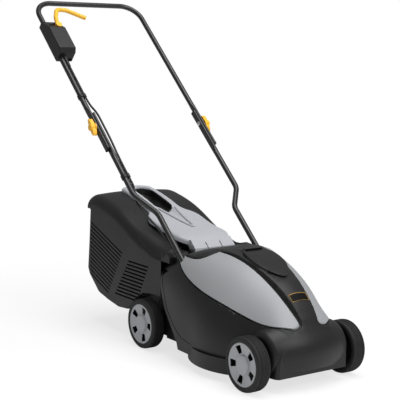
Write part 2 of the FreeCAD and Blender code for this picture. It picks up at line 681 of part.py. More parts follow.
def switch_form(inset=0.0):
    """Outer form of the switch box: side outline across X, with corners taken off."""
    i = inset
    outline = [(BOX_TOP_S + i, BOX_LOW_N + i), (BOX_END_S - i, BOX_LOW_N + i), (BOX_END_S - i, 22 - i),
               (BOX_END_S - 10 - i, BOX_HIGH_N - i), (BOX_TOP_S + 50 + i * 0.5, BOX_HIGH_N - i),
               (BOX_TOP_S + i, 10 - i * 0.3)]
    x0, x1 = BOX_OUT + i, BOX_IN - i
    points = [handle_point(x0, s, n) for s, n in outline]
    solid = Part.Face(Part.makePolygon(points + points[:1])).extrude(V(x1 - x0, 0, 0))
    if not inset:
        long_edges = [e for e in solid.Edges if abs(e.Vertexes[0].X - e.Vertexes[1].X) < 0.1]
        solid = solid.makeFillet(4.0, long_edges)
        return solid
    return solid


def slab(n0, n1):
    """Everything between two heights above the handle's plane, round the switch box."""
    corners = [handle_point(-230, 60, n0), handle_point(-230, 280, n0),
               handle_point(-230, 280, n1), handle_point(-230, 60, n1)]
    return Part.Face(Part.makePolygon(corners + corners[:1])).extrude(V(120, 0, 0))


def tube_saddle(extra=0.05):
    return rod(TUBE_R + extra, handle_point(-UPPER_X, 60), handle_point(-UPPER_X, 300))


def lever_pin_place(n):
    return handle_point(LEVER_PIVOT[0], LEVER_PIVOT[1], n)


def box_cable_bore():
    """Hole in the lower end of the switch box, where the mower's cable comes out."""
    return rod(CABLE_R + 0.05, handle_point(CABLE_X, 236, CABLE_N), handle_point(CABLE_X, 254, CABLE_N))


def switch_lid():
    """Upper half of the switch box, with the lever's pivot post."""
    shell = switch_form().cut(switch_form(2.6).cut(tube_cover()))
    lid = shell.common(slab(SPLIT_N, 60)).cut(tube_saddle())
    lid = lid.fuse([post.common(switch_form(1.0)) for post in switch_posts(SPLIT_N, 12)])
    for bore in switch_screw_bores(1.55):
        lid = lid.cut(bore)
    lid = lid.cut(box_cable_bore())
    lid = lid.cut(rod(10.4, lever_pin_place(4), lever_pin_place(50)))
    lid = lid.cut(lever_slot())
    lid = lid.cut(button_bore())
    return largest(lid)


def switch_base():
    """Lower half of the switch box, clamped under the handle tube."""
    shell = switch_form().cut(switch_form(2.6).cut(tube_cover()))
    base = shell.common(slab(-40, SPLIT_N - 0.1)).cut(tube_saddle())
    post = rod(5.0, lever_pin_place(BOX_LOW_N + 1), lever_pin_place(25.5))
    base = base.fuse([post] + switch_posts(BOX_LOW_N + 1, SPLIT_N - 0.1))
    for tool in [inlet_hole(), button_bore(), box_cable_bore()] + switch_screw_bores(1.6):
        base = base.cut(tool)
    return largest(base)


def tube_cover():
    """Solid web round the handle tube inside the switch box."""
    return rod(TUBE_R + 3.5, handle_point(-UPPER_X, 60), handle_point(-UPPER_X, 300)).fuse(
        handle_block(BOX_OUT - 1, -UPPER_X, 60, 300, -11, 11))


def handle_block(x0, x1, s0, s1, n0, n1):
    """Block with its edges along X, down the handle and along its normal."""
    corners = [handle_point(x0, s0, n0), handle_point(x0, s1, n0),
               handle_point(x0, s1, n1), handle_point(x0, s0, n1)]
    return Part.Face(Part.makePolygon(corners + corners[:1])).extrude(V(x1 - x0, 0, 0))


def inlet_hole():
    return handle_block(-172.05, -148.95, BOX_END_S - 6, BOX_END_S + 2, -11.25, -0.25)


def switch_screw_places():
    """Across and down the handle: the two screws that close the switch box."""
    return ((-153.0, 112.0), (-153.5, 217.0))


def switch_posts(n0, n1):
    return [rod(4.0, handle_point(x, s, n0), handle_point(x, s, n1)) for x, s in switch_screw_places()]


def switch_screw_bores(radius):
    return [rod(radius, handle_point(x, s, BOX_LOW_N - 1), handle_point(x, s, 10)) for x, s in switch_screw_places()]


def switch_screws():
    screws = []
    for x, s in switch_screw_places():
        head = rod(3.2, handle_point(x, s, BOX_LOW_N - 1.8), handle_point(x, s, BOX_LOW_N - 0.05))
        shank = rod(1.5, handle_point(x, s, BOX_LOW_N - 0.5), handle_point(x, s, 9))
        screws.append(head.fuse(shank).removeSplitter())
    return screws


def lever_slot():
    """Cut in the sloping face through which the lever comes out and swings."""
    return handle_block(-190, -140, 92, 134, 16.5, 40)


def switch_lever():
    """Hook-shaped lever: round pivot boss, riser, bend and cross grip."""
    n = 24.0
    route = [handle_point(LEVER_PIVOT[0], LEVER_PIVOT[1], n), handle_point(-153, 92, n),
             handle_point(-136, 56, n), handle_point(-104, 58, n), handle_point(-47, 93, n)]
    grip = pipe(route, 6.8, (40.0, 18.0, 30.0))
    tip = Part.makeSphere(6.8, handle_point(-47, 93, n))
    boss = rod(10, lever_pin_place(14), lever_pin_place(34.5))
    lever = grip.fuse([tip, boss])
    lever = lever.cut(rod(5.0 + RUNNING_GAP, lever_pin_place(10), lever_pin_place(26)))
    return largest(lever.removeSplitter())


def button_bore():
    return rod(6.1, handle_point(BOX_IN - 8, 176, 14), handle_point(BOX_IN + 2, 176, 14))


def lock_button():
    """Lock-off button on the inner side of the box, with its collar inside the wall."""
    stem = rod(6.0, handle_point(BOX_IN - 6, 176, 14), handle_point(BOX_IN + 4, 176, 14))
    collar = rod(7.5, handle_point(BOX_IN - 7, 176, 14), handle_point(BOX_IN - 3.0, 176, 14))
    return stem.fuse(collar).removeSplitter()


def switch_unit():
    """Switch block inside the box, just behind the lock-off button."""
    return handle_block(-171, -160, 160, 200, 8, 26)


def coil(radius, wire, start, axis, turns, pitch):
    """Helical spring of round wire."""
    helix = Part.makeHelix(pitch, pitch * turns, radius)
    ring = Part.Wire(Part.makeCircle(wire, V(radius, 0, 0), V(0, 1, 0)))
    spring = Part.Wire(helix.Edges).makePipeShell([ring], True, True)
    turn = FreeCAD.Rotation(V(0, 0, 1), axis)
    spring.Placement = FreeCAD.Placement(start, turn)
    return spring


def flap_spring():
    """Closing spring round the flap's hinge pin."""
    return coil(4.4, 0.6, V(-42, FLAP_PIN_Y, FLAP_PIN_Z), V(1, 0, 0), 8, 1.6)


def mains_inlet():
    """Recessed two-pin inlet at the lower end of the switch box."""
    block = handle_block(-172, -149, BOX_END_S - 22, BOX_END_S - 0.5, -11.2, -0.3)
    room = handle_block(-170.5, -150.5, BOX_END_S - 20, BOX_END_S + 1, -9.9, -1.6)
    block = block.cut(room)
    for x in (-165.5, -155.5):
        block = block.fuse(rod(1.4, handle_point(x, BOX_END_S - 21, -5.75), handle_point(x, BOX_END_S - 3, -5.75)))
    return block.removeSplitter()




def cable_boot():
    """Tapered rubber boot where the cable leaves the switch box."""
    start = handle_point(CABLE_X, BOX_END_S + 0.1, CABLE_N)
    boot = Part.makeCone(6.0, 4.4, 42, start, HANDLE_DOWN)
    boot = boot.cut(rod(CABLE_R, handle_point(CABLE_X, BOX_END_S - 2, CABLE_N), handle_point(CABLE_X, 300, CABLE_N)))
    return boot.cut(rod(TUBE_R + 0.05, handle_point(-UPPER_X, 240), handle_point(-UPPER_X, 300)))


# across, down the handle and above it; the two cables meet at the fold
UPPER_CABLE_ROUTE = (
    (CABLE_X, 242, CABLE_N), (CABLE_X, 452, CABLE_N), (-166.7, 486, 7.0), (-166.7, FOLD_S - 0.15, 7.0),
)
LOWER_CABLE_ROUTE = (
    (-166.7, FOLD_S + 0.15, 7.0), (-166.7, 596, 7.0), (-169.5, 656, 6.0), (-169.5, 750, 6.0),
    (-165.8, 764, 2.0), (-165.8, 780, -6.0), (-168.5, 803, -14.8), (-169.5, 830, -16.0),
    (-156.0, 870, -16.5), (-141.0, 915, -15.5),
    (-131.0, 966, -15.0), (CABLE_END_X, 1002, CABLE_END_N), (CABLE_END_X, 1046, CABLE_END_N),
)


def cable(route):
    """Round cable along a route, with the widest bend that each pair of runs allows."""
    points = [handle_point(*place) for place in route]
    bends = []
    for before, p, after in zip(points, points[1:], points[2:]):
        a, b = before.sub(p), after.sub(p)
        turn = math.pi - a.getAngle(b)
        bends.append(0.45 * min(a.Length, b.Length) / math.tan(turn / 2))
    print("cable bend radii:", [round(r) for r in bends])
    return pipe(points, CABLE_R, bends)


def cable_grommet():
    """Rubber collar where the cable goes into the cover."""
    return cable_entry(GROMMET_R, 1012, 1036).cut(cable_entry(CABLE_R + 0.02, 1010, 1050))


def cable_clip(x, cable_x, cable_n, s):
    """C-shaped clip that holds the cable against the handle tube."""
    body = rod(TUBE_R + 2.2, handle_point(x, s), handle_point(x, s + 12))
    eye = rod(CABLE_R + 2.0, handle_point(cable_x, s, cable_n), handle_point(cable_x, s + 12, cable_n))
    clip = body.fuse(eye).removeSplitter()
    clip = clip.cut(rod(TUBE_R + 0.02, handle_point(x, s - 1), handle_point(x, s + 13)))
    clip = clip.cut(rod(CABLE_R + 0.15, handle_point(cable_x, s - 1, cable_n), handle_point(cable_x, s + 13, cable_n)))
    mouth = handle_block(x - 4, x + 4, s - 1, s + 13, -14, -4)
    return largest(clip.cut(mouth))


# ---------------------------------------------------------------- rear flap
# y, half width, height of the flap's upper face
FLAP_STATIONS = ((-84, 68, 310), (-66, 76, 317), (-10, 85, 328), (60, 86, 343), (112, 82, 357),
                 (140, 62, 366), (180, 56, 380), (250, 54, 400), (300, 52, 411), (318, 42, 411))


def flap_section(y, half, top, inset, depth):
    """Crowned channel section of the flap, open below."""
    h, t = half - inset, top - inset
    r = 9.0
    crown = Part.Arc(V(-h + r, y, t - 2), V(0, y, t + 2), V(h - r, y, t - 2)).toShape()
    near = Part.Arc(V(-h, y, t - r - 2), V(-h + 2.6, y, t - 4.6), V(-h + r, y, t - 2)).toShape()
    far = Part.Arc(V(h - r, y, t - 2), V(h - 2.6, y, t - 4.6), V(h, y, t - r - 2)).toShape()
    low = [V(h, y, t - r - 2), V(h, y, top - depth), V(-h, y, top - depth), V(-h, y, t - r - 2)]
    return Part.Wire([near, crown, far] + [Part.makeLine(a, b) for a, b in zip(low, low[1:])])


def flap_form(inset, depth):
    return Part.makeLoft([flap_section(*st, inset, depth) for st in FLAP_STATIONS], True, False)


def slot_prism(y0, y1, half, z0, z1):
    """Long hole with round ends, along Y."""
    length = y1 - y0 - 2 * half
    ends = [Part.makeCylinder(half, z1 - z0, V(0, y, z0)) for y in (y0 + half, y0 + half + length)]
    return fused(box(-half, half, y0 + half, y1 - half, z0, z1), *ends)


def flap():
    """Rear flap with its carrying loop, front apron and hinge knuckles, in one moulding."""
    outer = flap_form(0.0, 17.0)
    hollow = flap_form(3.0, 22.0)
    skin = outer.cut(hollow)
    rim = outer.common(slot_prism(118, 303, 42, 250, 450)).common(box(-60, 60, 118, 330, 250, 450))
    skin = fused(skin, rim, grip_bar(outer), trough(3.0).common(outer)).cut(trough())
    skin = skin.cut(slot_prism(134, 290, 30, 250, 450))
    apron = [(-84, 313), (-72, 308), (-79, 296), (-103, 287), (-106, 274), (-110, 275), (-107, 291)]
    front = side_profile(apron, -68, 68)
    for x in (-24, 24):
        front = front.cut(box(x - 1.5, x + 1.5, -120, -90, 284, 304))
    knuckles = []
    for x in (-67.0, 61.0):
        arm = side_profile([(-97, 286), (-97, 280), (-83, 280), (-70, 298), (-70, 309), (-83, 297)], x, x + 6)
        eye = rod(7, V(x, FLAP_PIN_Y, FLAP_PIN_Z), V(x + 6, FLAP_PIN_Y, FLAP_PIN_Z))
        knuckles.append(arm.fuse(eye))
    solid = skin.fuse([front] + knuckles)
    solid = solid.cut(rod(3.0 + RUNNING_GAP, V(-80, FLAP_PIN_Y, FLAP_PIN_Z), V(80, FLAP_PIN_Y, FLAP_PIN_Z)))
    solid = solid.removeSplitter().cut(lid_form(-0.5))
    return largest(solid)


def trough(extra=0.0):
    """Tapered hollow that runs forwards from the hand hole."""
    narrow, wide = V(0, -4, 331 + 6), V(0, 136, 364 + 20)
    axis = wide.sub(narrow)
    return Part.makeCone(5.0 + extra, 29.0 + extra, axis.Length, narrow, axis)


def grip_bar(outer):
    """Solid cross grip at the rear of the loop."""
    return outer.common(box(-60, 60, 286, 330, 250, 450))


def flap_pin():
    return rod(3.0, V(-76, FLAP_PIN_Y, FLAP_PIN_Z), V(76, FLAP_PIN_Y, FLAP_PIN_Z))


# ---------------------------------------------------------------- grass box
# y, half width of the flat top, height of the top
LID_STATIONS = ((-60, 92, 286), (30, 96, 306), (70, 106, 318), (117, 120, 336),
                (191, 122, 367), (275, 122, 388), (318, 121, 393), (345, 112, 388))
LID_FOOT_Z = 200.0
SEAM_RISE = ((95, 256), (130, 259), (165, 275), (200, 289), (235, 307), (262, 319), (290, 334),
             (312, 341), (332, 348), (352, 352))
SEAM_WAVE = 2.2                # the rising part of the seam waves up and down by this much


def above_seam(gap=0.0):
    """Everything above the wavy seam between the box and its lid."""
    wave = [0, 0] + [SEAM_WAVE * (-1) ** k for k in range(len(SEAM_RISE) - 3)] + [0]
    rise = [V(-220, y, z + gap + w) for (y, z), w in zip(SEAM_RISE, wave)]
    curve = Part.BSplineCurve()
    curve.interpolate(Points=rise, InitialTangent=V(0, 1, 0), FinalTangent=V(0, 1, 0.25))
    low = [V(-220, rise[-1].y, rise[-1].z), V(-220, 420, rise[-1].z + 17), V(-220, 420, 500),
           V(-220, -160, 500), V(-220, -160, rise[0].z), V(-220, rise[0].y, rise[0].z)]
    wire = Part.Wire([curve.toShape()] + [Part.makeLine(p, q) for p, q in zip(low, low[1:])])
    return Part.Face(wire).extrude(V(440, 0, 0))


def lid_section(y, flat, top, inset):
    x = BOX_X + 2 - inset
    t = top - inset
    f = flat - inset * 0.4
    shoulder = 30.0
    crown = Part.Arc(V(-f, y, t), V(0, y, t + 5), V(f, y, t)).toShape()
    near = Part.Arc(V(-x, y, t - shoulder), V(-x + (x - f) * 0.22, y, t - shoulder * 0.42), V(-f, y, t)).toShape()
    far = Part.Arc(V(f, y, t), V(x - (x - f) * 0.22, y, t - shoulder * 0.42), V(x, y, t - shoulder)).toShape()
    rest = [V(x, y, t - shoulder), V(x, y, LID_FOOT_Z), V(-x, y, LID_FOOT_Z), V(-x, y, t - shoulder)]
    return Part.Wire([near, crown, far] + [Part.makeLine(p, q) for p, q in zip(rest, rest[1:])])


def lid_form(inset=0.0):
    return Part.makeLoft([lid_section(*station, inset) for station in LID_STATIONS], True, False)


def box_lid():
    """Lid of the grass box, with two wings that hang on the deck's rear ledge."""
    hollow = lid_form(BOX_WALL).common(box(-200, 200, -70, 342, 190, 420))
    lid = lid_form().cut(hollow).common(above_seam(0.3))
    wing = side_profile([(-100, 256.3), (-59, 256.3), (-59, 283), (-84, 281), (-100, 272)], -BOX_X, -79)
    lid = lid.fuse([wing, mirrored(wing)])
    lid = lid.cut(box(-79, 79, -70, -52, 200, 400))
    for side in (-1, 1):
        x = side * SOCKET_X
        lid = lid.cut(rod(TUBE_R + 4, handle_point(x, 860), handle_point(x, 1080)))
    return largest(lid)


def box_side(inset=0.0):
    """Side view of the lower half of the grass box, without its top edge."""
    i = inset
    return [(-58 - i, 157 + i), (-58 - i, 380), (342 - i, 380), (350 - i, 250), (357 - i, 165),
            (345 - i, 143 + i), (322 - i * 0.6, 124 + i), (290, 107 + i), (220, 91 + i), (163, 82 + i),
            (112, 86 + i), (92, 104 + i), (68, 130 + i), (34, 149 + i), (0, 154 + i), (-30, 156 + i)]


def box_form(inset=0.0):
    """Lower half of the box as a solid, with rounded upright corners at the rear."""
    half = BOX_X - inset
    solid = side_profile(box_side(inset), -half, half)
    upright = [e for e in solid.Edges if e.BoundBox.XLength < 0.1 and e.BoundBox.YMin > 318 - inset]
    return solid.makeFillet(18.0 - inset, upright)


def box_body():
    """Louvred lower half of the grass box, open in front and on top."""
    low_part = side_profile([(-58, 82), (-58, 170), (170, 170), (170, 82)], -112, 112)
    low_room = side_profile([(-61, 84.6), (-61, 180), (168, 180), (168, 84.6)], -109.4, 109.4)
    solid = box_form().fuse(low_part).cut(box_form(BOX_WALL).fuse(low_room)).cut(above_seam())
    for tool in louvres():
        solid = solid.cut(tool)
    return largest(solid)


def louvres():
    """Slots in both sides: level ones in front of a plain post, sloping ones behind it."""
    tools = []
    for k in range(11):
        z = 227 - k * 10.8
        y0, y1 = 6 + k * 5.4, 112 + k * 7.2
        tools.append(box(-BOX_X - 2, -BOX_X + BOX_WALL + 2, y0, y1, z - 2.4, z + 2.4))
    for k in range(14):
        y0, z0 = 146 + k * 5.8, 243 - k * 10.0
        slot = box(-BOX_X - 2, -BOX_X + BOX_WALL + 2, y0, 400, z0 - 2.2, z0 + 2.2)
        slot.rotate(V(0, y0, z0), V(1, 0, 0), 20)
        tools.append(slot.common(box(-160, -130, 0, 331, 60, 330)))
    return tools + [mirrored(tool) for tool in tools]


# ---------------------------------------------------------------- writing the nodes


def save_wheel(label, y, x_head, first_window):
    """The five pieces of one wheel, on the -X side and mirrored on the +X side."""
    pieces = {"tyre": tyre(WHEEL_OUT_X, y), "hub": hub(WHEEL_OUT_X, y, first_window), "cap": wheel_cap(WHEEL_OUT_X, y),
              "axle_pin": axle_pin(x_head, WHEEL_OUT_X, y)}
    for name, shape in pieces.items():
        save(label + "_right_" + name, shape)
        save(label + "_left_" + name, mirrored(shape))


def cover_screws():
    """Four screws from below, through the motor plate into the posts of the cover."""
    z = PLATE_Z
    outline = [(z - 2.6, 0), (z - 2.6, 3.8), (z - 0.05, 3.8), (z - 0.05, 1.9), (z + 20, 1.9), (z + 20, 0)]
    return [turned(outline, V(x, y, 0), V(0, 0, 1)) for x, y in COVER_SCREWS]


def tube_screw():
    """Screw through the socket's inner side into the wall of the lower tube, on the -X side."""
    centre = handle_point(-SOCKET_X, TUBE_SCREW_S)
    shank = rod(2.2, centre.add(V(5, 0, 0)), centre.add(V(13, 0, 0)))
    head = rod(4.0, centre.add(V(12.6, 0, 0)), centre.add(V(15.5, 0, 0)))
    return shank.fuse(head).removeSplitter()


def main():
    os.makedirs("parts", exist_ok=True)
    save("deck", deck())
    save("motor_cover", motor_cover())
    panel = side_panel()
    save("side_panel_right", panel)
    save("side_panel_left", mirrored(panel))
    save_wheel("front", -WHEELBASE, 116.0, 54)
    save_wheel("rear", 0.0, 114.0, 18)
    save("motor_housing", motor_housing())
    save("motor_end_bell", end_bell())
    save("motor_stator", stator())
    save("motor_bearings", *bearings())
    save("motor_screws", *motor_screws())
    save("rotor_shaft", rotor_shaft())
    save("blade_carrier", blade_carrier())
    save("blade", blade())
    save("blade_bolt", blade_bolt())
    save("upper_handle", upper_handle())
    leg = lower_tube()
    save("lower_tube_right", leg)
    save("lower_tube_left", mirrored(leg))
    save("fold_bolts", fold_bolt(), mirrored(fold_bolt()))
    knob = wing_knob()
    save("wing_knob_right", knob)
    save("wing_knob_left", mirrored(knob))
    save("switch_box_lid", switch_lid())
    save("switch_box_base", switch_base())
    save("switch_lever", switch_lever())
    save("lock_button", lock_button())
    save("switch_unit", switch_unit())
    save("mains_inlet", mains_inlet())
    save("cable_boot", cable_boot())
    save("cable_upper", cable(UPPER_CABLE_ROUTE))
    save("cable_lower", cable(LOWER_CABLE_ROUTE))
    save("cable_clip_upper", cable_clip(-UPPER_X, CABLE_X, CABLE_N, 410))
    save("cable_clip_lower", cable_clip(-LOWER_X, -169.5, 6.0, 726))
    save("cable_grommet", cable_grommet())
    save("flap_spring", flap_spring())
    save("cover_screws", *cover_screws())
    save("tube_screws", tube_screw(), mirrored(tube_screw()))
    save("switch_screws", *switch_screws())
    save("rear_flap", flap())
    save("flap_pin", flap_pin())
    save("grass_box_lid", box_lid())
    save("grass_box_body", box_body())


main()
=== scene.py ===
# %% [markdown]
# # A push lawn mower in Blender
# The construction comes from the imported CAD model: every solid is already at its real size and place,
# in metres, with -Y forwards and the ground at z = 0. This file gives it finishes, the details that
# are easier to shape as meshes, a floor, lamps and a camera.

# %% Load the mower
import json
import math

import bmesh
import bpy
from mathutils import Matrix, Vector
from mathutils.bvhtree import BVHTree


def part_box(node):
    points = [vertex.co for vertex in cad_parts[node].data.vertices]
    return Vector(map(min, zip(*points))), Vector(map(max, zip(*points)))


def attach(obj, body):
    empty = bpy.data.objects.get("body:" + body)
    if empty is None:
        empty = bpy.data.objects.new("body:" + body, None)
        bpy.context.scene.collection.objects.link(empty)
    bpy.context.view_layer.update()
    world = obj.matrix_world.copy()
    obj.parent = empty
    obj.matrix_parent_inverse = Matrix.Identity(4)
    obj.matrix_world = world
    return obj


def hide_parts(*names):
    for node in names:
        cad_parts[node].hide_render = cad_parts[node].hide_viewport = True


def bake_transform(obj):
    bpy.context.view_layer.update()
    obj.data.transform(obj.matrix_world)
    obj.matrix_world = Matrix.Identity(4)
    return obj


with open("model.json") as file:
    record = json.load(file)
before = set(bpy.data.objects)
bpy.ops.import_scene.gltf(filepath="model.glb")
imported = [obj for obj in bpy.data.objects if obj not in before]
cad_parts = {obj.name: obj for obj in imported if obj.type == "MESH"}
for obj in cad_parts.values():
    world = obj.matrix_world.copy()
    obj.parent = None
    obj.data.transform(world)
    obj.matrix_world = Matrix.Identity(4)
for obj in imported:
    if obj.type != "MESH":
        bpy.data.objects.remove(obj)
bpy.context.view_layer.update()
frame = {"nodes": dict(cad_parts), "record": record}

nodes = frame["nodes"]

# %% [markdown]
# ## The camera
# A long lens far away keeps the wheels round and the handle straight. The camera stands in front and
# to the mower's right, a little above the handle's height, and looks slightly down. Three angles and a
# place are easier to read than a matrix, so the matrix is made from them.

# %% Place the camera
CAMERA_PLACE = Vector((-1.7772, -2.5670, 0.8512))
CAMERA_YAW, CAMERA_PITCH, CAMERA_ROLL = (math.radians(angle) for angle in (35.48, 8.16, 1.06))
LENS_MM = 98.6
FURTHEST_SEEN = 60

look = Vector((math.sin(CAMERA_YAW) * math.cos(CAMERA_PITCH),
               math.cos(CAMERA_YAW) * math.cos(CAMERA_PITCH), -math.sin(CAMERA_PITCH)))
level_right = look.cross(Vector((0, 0, 1))).normalized()
level_up = level_right.cross(look)
right = level_right * math.cos(CAMERA_ROLL) + level_up * math.sin(CAMERA_ROLL)
up = right.cross(look)
camera_data = bpy.data.cameras.new("camera")
camera_data.lens = LENS_MM
camera_data.clip_end = FURTHEST_SEEN
camera = bpy.data.objects.new("camera", camera_data)
camera.matrix_world = Matrix((right, up, -look)).transposed().to_4x4()
camera.location = CAMERA_PLACE
bpy.context.scene.collection.objects.link(camera)
bpy.context.scene.camera = camera
print("camera looks along", [round(x, 3) for x in look])

# %% [markdown]
# ## Helpers
# A mesh is made in a bmesh, finished into an object, and joined to the body that carries it. The
# handle leans, so its pieces are easier to place by "how far across, how far down the handle, how far
# above it" than by x, y and z.

# %% Make and mount a piece
HANDLE_TILT = math.radians(42.2)
BAR = Vector((0, 0.5843, 0.966))
DOWN = Vector((0, -math.cos(HANDLE_TILT), -math.sin(HANDLE_TILT)))
ABOVE = Vector((0, -math.sin(HANDLE_TILT), math.cos(HANDLE_TILT)))
ACROSS = Vector((1, 0, 0))
HANDS = (("right", -1), ("left", 1))
MM = 0.001
SAME_PLACE = 1e-6


def on_handle(x, s, n=0.0):
    """The point x across, s down the handle from the middle of the bar and n above it."""
    return BAR + ACROSS * x + DOWN * s + ABOVE * n


def as_object(name, shape):
    """Turn a bmesh into an object of the scene."""
    mesh = bpy.data.meshes.new(name)
    shape.to_mesh(mesh)
    shape.free()
    piece = bpy.data.objects.new(name, mesh)
    bpy.context.scene.collection.objects.link(piece)
    return piece


def mount(name, shape, body, material, sharp_angle=35, replaces=()):
    """Make a bmesh a piece that rides on a body of the mower."""
    piece = as_object(name, shape)
    mesh = piece.data
    mesh.materials.append(material)
    mesh.shade_smooth()
    mesh.set_sharp_from_angle(angle=math.radians(sharp_angle))
    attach(piece, body)
    if replaces:
        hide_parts(*replaces)
    print(name, "has", len(mesh.polygons), "faces")
    return piece


def surface_of(piece):
    """A search tree over a piece's triangles."""
    mesh = piece.data
    return BVHTree.FromPolygons([v.co for v in mesh.vertices], [p.vertices for p in mesh.polygons])


def flip_to_outside(shape):
    """Merge doubled points and make every face point outwards."""
    bmesh.ops.remove_doubles(shape, verts=shape.verts, dist=SAME_PLACE)
    bmesh.ops.recalc_face_normals(shape, faces=shape.faces)


def push_out(shape, faces, step):
    """Extrude faces and move what is new by one step."""
    grown = bmesh.ops.extrude_face_region(shape, geom=faces)
    bmesh.ops.translate(shape, vec=step,
                        verts=[part for part in grown["geom"] if isinstance(part, bmesh.types.BMVert)])


def mesh_of(thing):
    """The finished mesh of an object. The object itself is removed."""
    bpy.context.view_layer.update()
    done = thing.evaluated_get(bpy.context.evaluated_depsgraph_get())
    mesh = bpy.data.meshes.new_from_object(done)
    bpy.data.objects.remove(thing)
    return mesh


# %% [markdown]
# ## Finishes
# Most of the mower is moulded plastic. Moulds are etched with a fine grain, so the light breaks up
# softly on it: a noise on Object coordinates drives the bump and, much larger, a slight change of
# roughness. Painted and shiny parts have less grain. What is the same all over a finish is set on the
# shader's own sockets.

# %% A grained, moulded finish


def srgb(r, g, b):
    """A colour as the eye reads it on a screen, 0 to 255, made linear for the shader."""
    def linear(c):
        c /= 255
        return c / 12.92 if c <= 0.04045 else ((c + 0.055) / 1.055) ** 2.4
    return (linear(r), linear(g), linear(b), 1)


def link(material, source, socket_out, target, socket_in):
    material.node_tree.links.new(source.outputs[socket_out], target.inputs[socket_in])


CLOUD_SCALE, CLOUD_DETAIL = 14, 4
ROUGHNESS_CHANGE = 0.06
GRAIN_DETAIL, GRAIN_STRENGTH = 2, 0.5


def finish(name, colour, roughness, grain_size, grain_height, mottle=0.06, metal=0.0, shine=0.5):
    """A material with a fine grain and a slow change of tone and roughness."""
    material = bpy.data.materials.new(name)
    material.use_nodes = True
    tree = material.node_tree
    shader = tree.nodes["Principled BSDF"]
    shader.inputs["Metallic"].default_value = metal
    shader.inputs["Specular IOR Level"].default_value = shine
    place = tree.nodes.new("ShaderNodeTexCoord")

    cloud = tree.nodes.new("ShaderNodeTexNoise")
    cloud.inputs["Scale"].default_value = CLOUD_SCALE
    cloud.inputs["Detail"].default_value = CLOUD_DETAIL
    link(material, place, "Object", cloud, "Vector")
    tone = tree.nodes.new("ShaderNodeMix")
    tone.data_type = "RGBA"
    tone.inputs[6].default_value = [c * (1 - mottle) for c in colour[:3]] + [1]
    tone.inputs[7].default_value = [min(1, c * (1 + mottle)) for c in colour[:3]] + [1]
    link(material, cloud, "Fac", tone, "Factor")
    tree.links.new(tone.outputs[2], shader.inputs["Base Color"])
    rough = tree.nodes.new("ShaderNodeMapRange")
    rough.inputs["To Min"].default_value = roughness - ROUGHNESS_CHANGE
    rough.inputs["To Max"].default_value = roughness + ROUGHNESS_CHANGE
    link(material, cloud, "Fac", rough, "Value")
    link(material, rough, "Result", shader, "Roughness")

    grain = tree.nodes.new("ShaderNodeTexNoise")
    grain.inputs["Scale"].default_value = 1 / grain_size
    grain.inputs["Detail"].default_value = GRAIN_DETAIL
    link(material, place, "Object", grain, "Vector")
    bump = tree.nodes.new("ShaderNodeBump")
    bump.inputs["Strength"].default_value = GRAIN_STRENGTH
    bump.inputs["Distance"].default_value = grain_height
    link(material, grain, "Fac", bump, "Height")
    link(material, bump, "Normal", shader, "Normal")
    return material


BLACK_PLASTIC = finish("black_moulded_plastic", srgb(24, 24, 25), 0.42, 0.0012, 0.00008, shine=0.3)
BOX_PLASTIC = finish("grass_box_plastic", srgb(24, 24, 25), 0.46, 0.0015, 0.00010, shine=0.3)
DARK_PLASTIC = finish("dark_small_part_plastic", srgb(22, 22, 23), 0.45, 0.001, 0.00008, shine=0.3)
SILVER_PAINT = finish("silver_panel_paint", srgb(148, 150, 153), 0.48, 0.0006, 0.00003, 0.03, 0.12, 0.4)
PALE_GREY = finish("pale_grey_flap_plastic", srgb(168, 170, 175), 0.42, 0.0012, 0.00008, 0.03)
WHEEL_GREY = finish("wheel_grey_plastic", srgb(154, 156, 160), 0.44, 0.0012, 0.00008, 0.04)
YELLOW = finish("yellow_grip_plastic", srgb(240, 182, 44), 0.36, 0.0012, 0.00006, 0.03)
TUBE_PAINT = finish("black_powder_coat", srgb(24, 24, 25), 0.3, 0.0009, 0.00005)
RUBBER = finish("tyre_rubber", srgb(31, 31, 32), 0.68, 0.0014, 0.00016, 0.12, shine=0.3)
CABLE_RUBBER = finish("cable_sheath", srgb(26, 26, 27), 0.5, 0.001, 0.00004, shine=0.4)
ZINC = finish("zinc_plated_steel", srgb(190, 191, 194), 0.32, 0.0008, 0.00003, 0.05, 1.0)
BLACK_OXIDE = finish("black_oxide_steel", srgb(28, 28, 29), 0.38, 0.0008, 0.00003, 0.05, shine=0.45)
BLADE_PAINT = finish("blade_paint", srgb(50, 51, 54), 0.4, 0.0012, 0.00006)
CAST_METAL = finish("cast_aluminium", srgb(180, 181, 184), 0.45, 0.0014, 0.00010, 0.05, 1.0)

slot_finish = {
    "black_plastic": BLACK_PLASTIC, "dark_plastic": DARK_PLASTIC, "silver_plastic": SILVER_PAINT,
    "pale_grey_plastic": PALE_GREY, "wheel_grey_plastic": WHEEL_GREY, "yellow_plastic": YELLOW,
    "black_painted_tube": TUBE_PAINT, "cable_rubber": CABLE_RUBBER, "tyre": RUBBER, "steel": ZINC,
    "blade_steel": BLADE_PAINT, "aluminium": CAST_METAL,
}

# %% Give every CAD piece its finish
slot_of = {part["node"]: part["material_slot"] for part in frame["record"]["subparts"]}
for name, node in nodes.items():
    wanted = BOX_PLASTIC if name.startswith("grass_box") else slot_finish[slot_of[name]]
    if name.startswith("flap_"):
        wanted = BLACK_OXIDE
    if not node.material_slots:
        node.data.materials.append(wanted)
    for place in node.material_slots:
        place.material = wanted
print(len(nodes), "CAD pieces have a finish")

# %% [markdown]
# ## The floor and the lamps
# The mower stands in an even, white studio. Two large soft lamps and a pale world light it at a plain
# level, so a colour renders about as it was written. The floor keeps the soft shadow near the mower
# and turns into plain white further out, so no horizon shows.

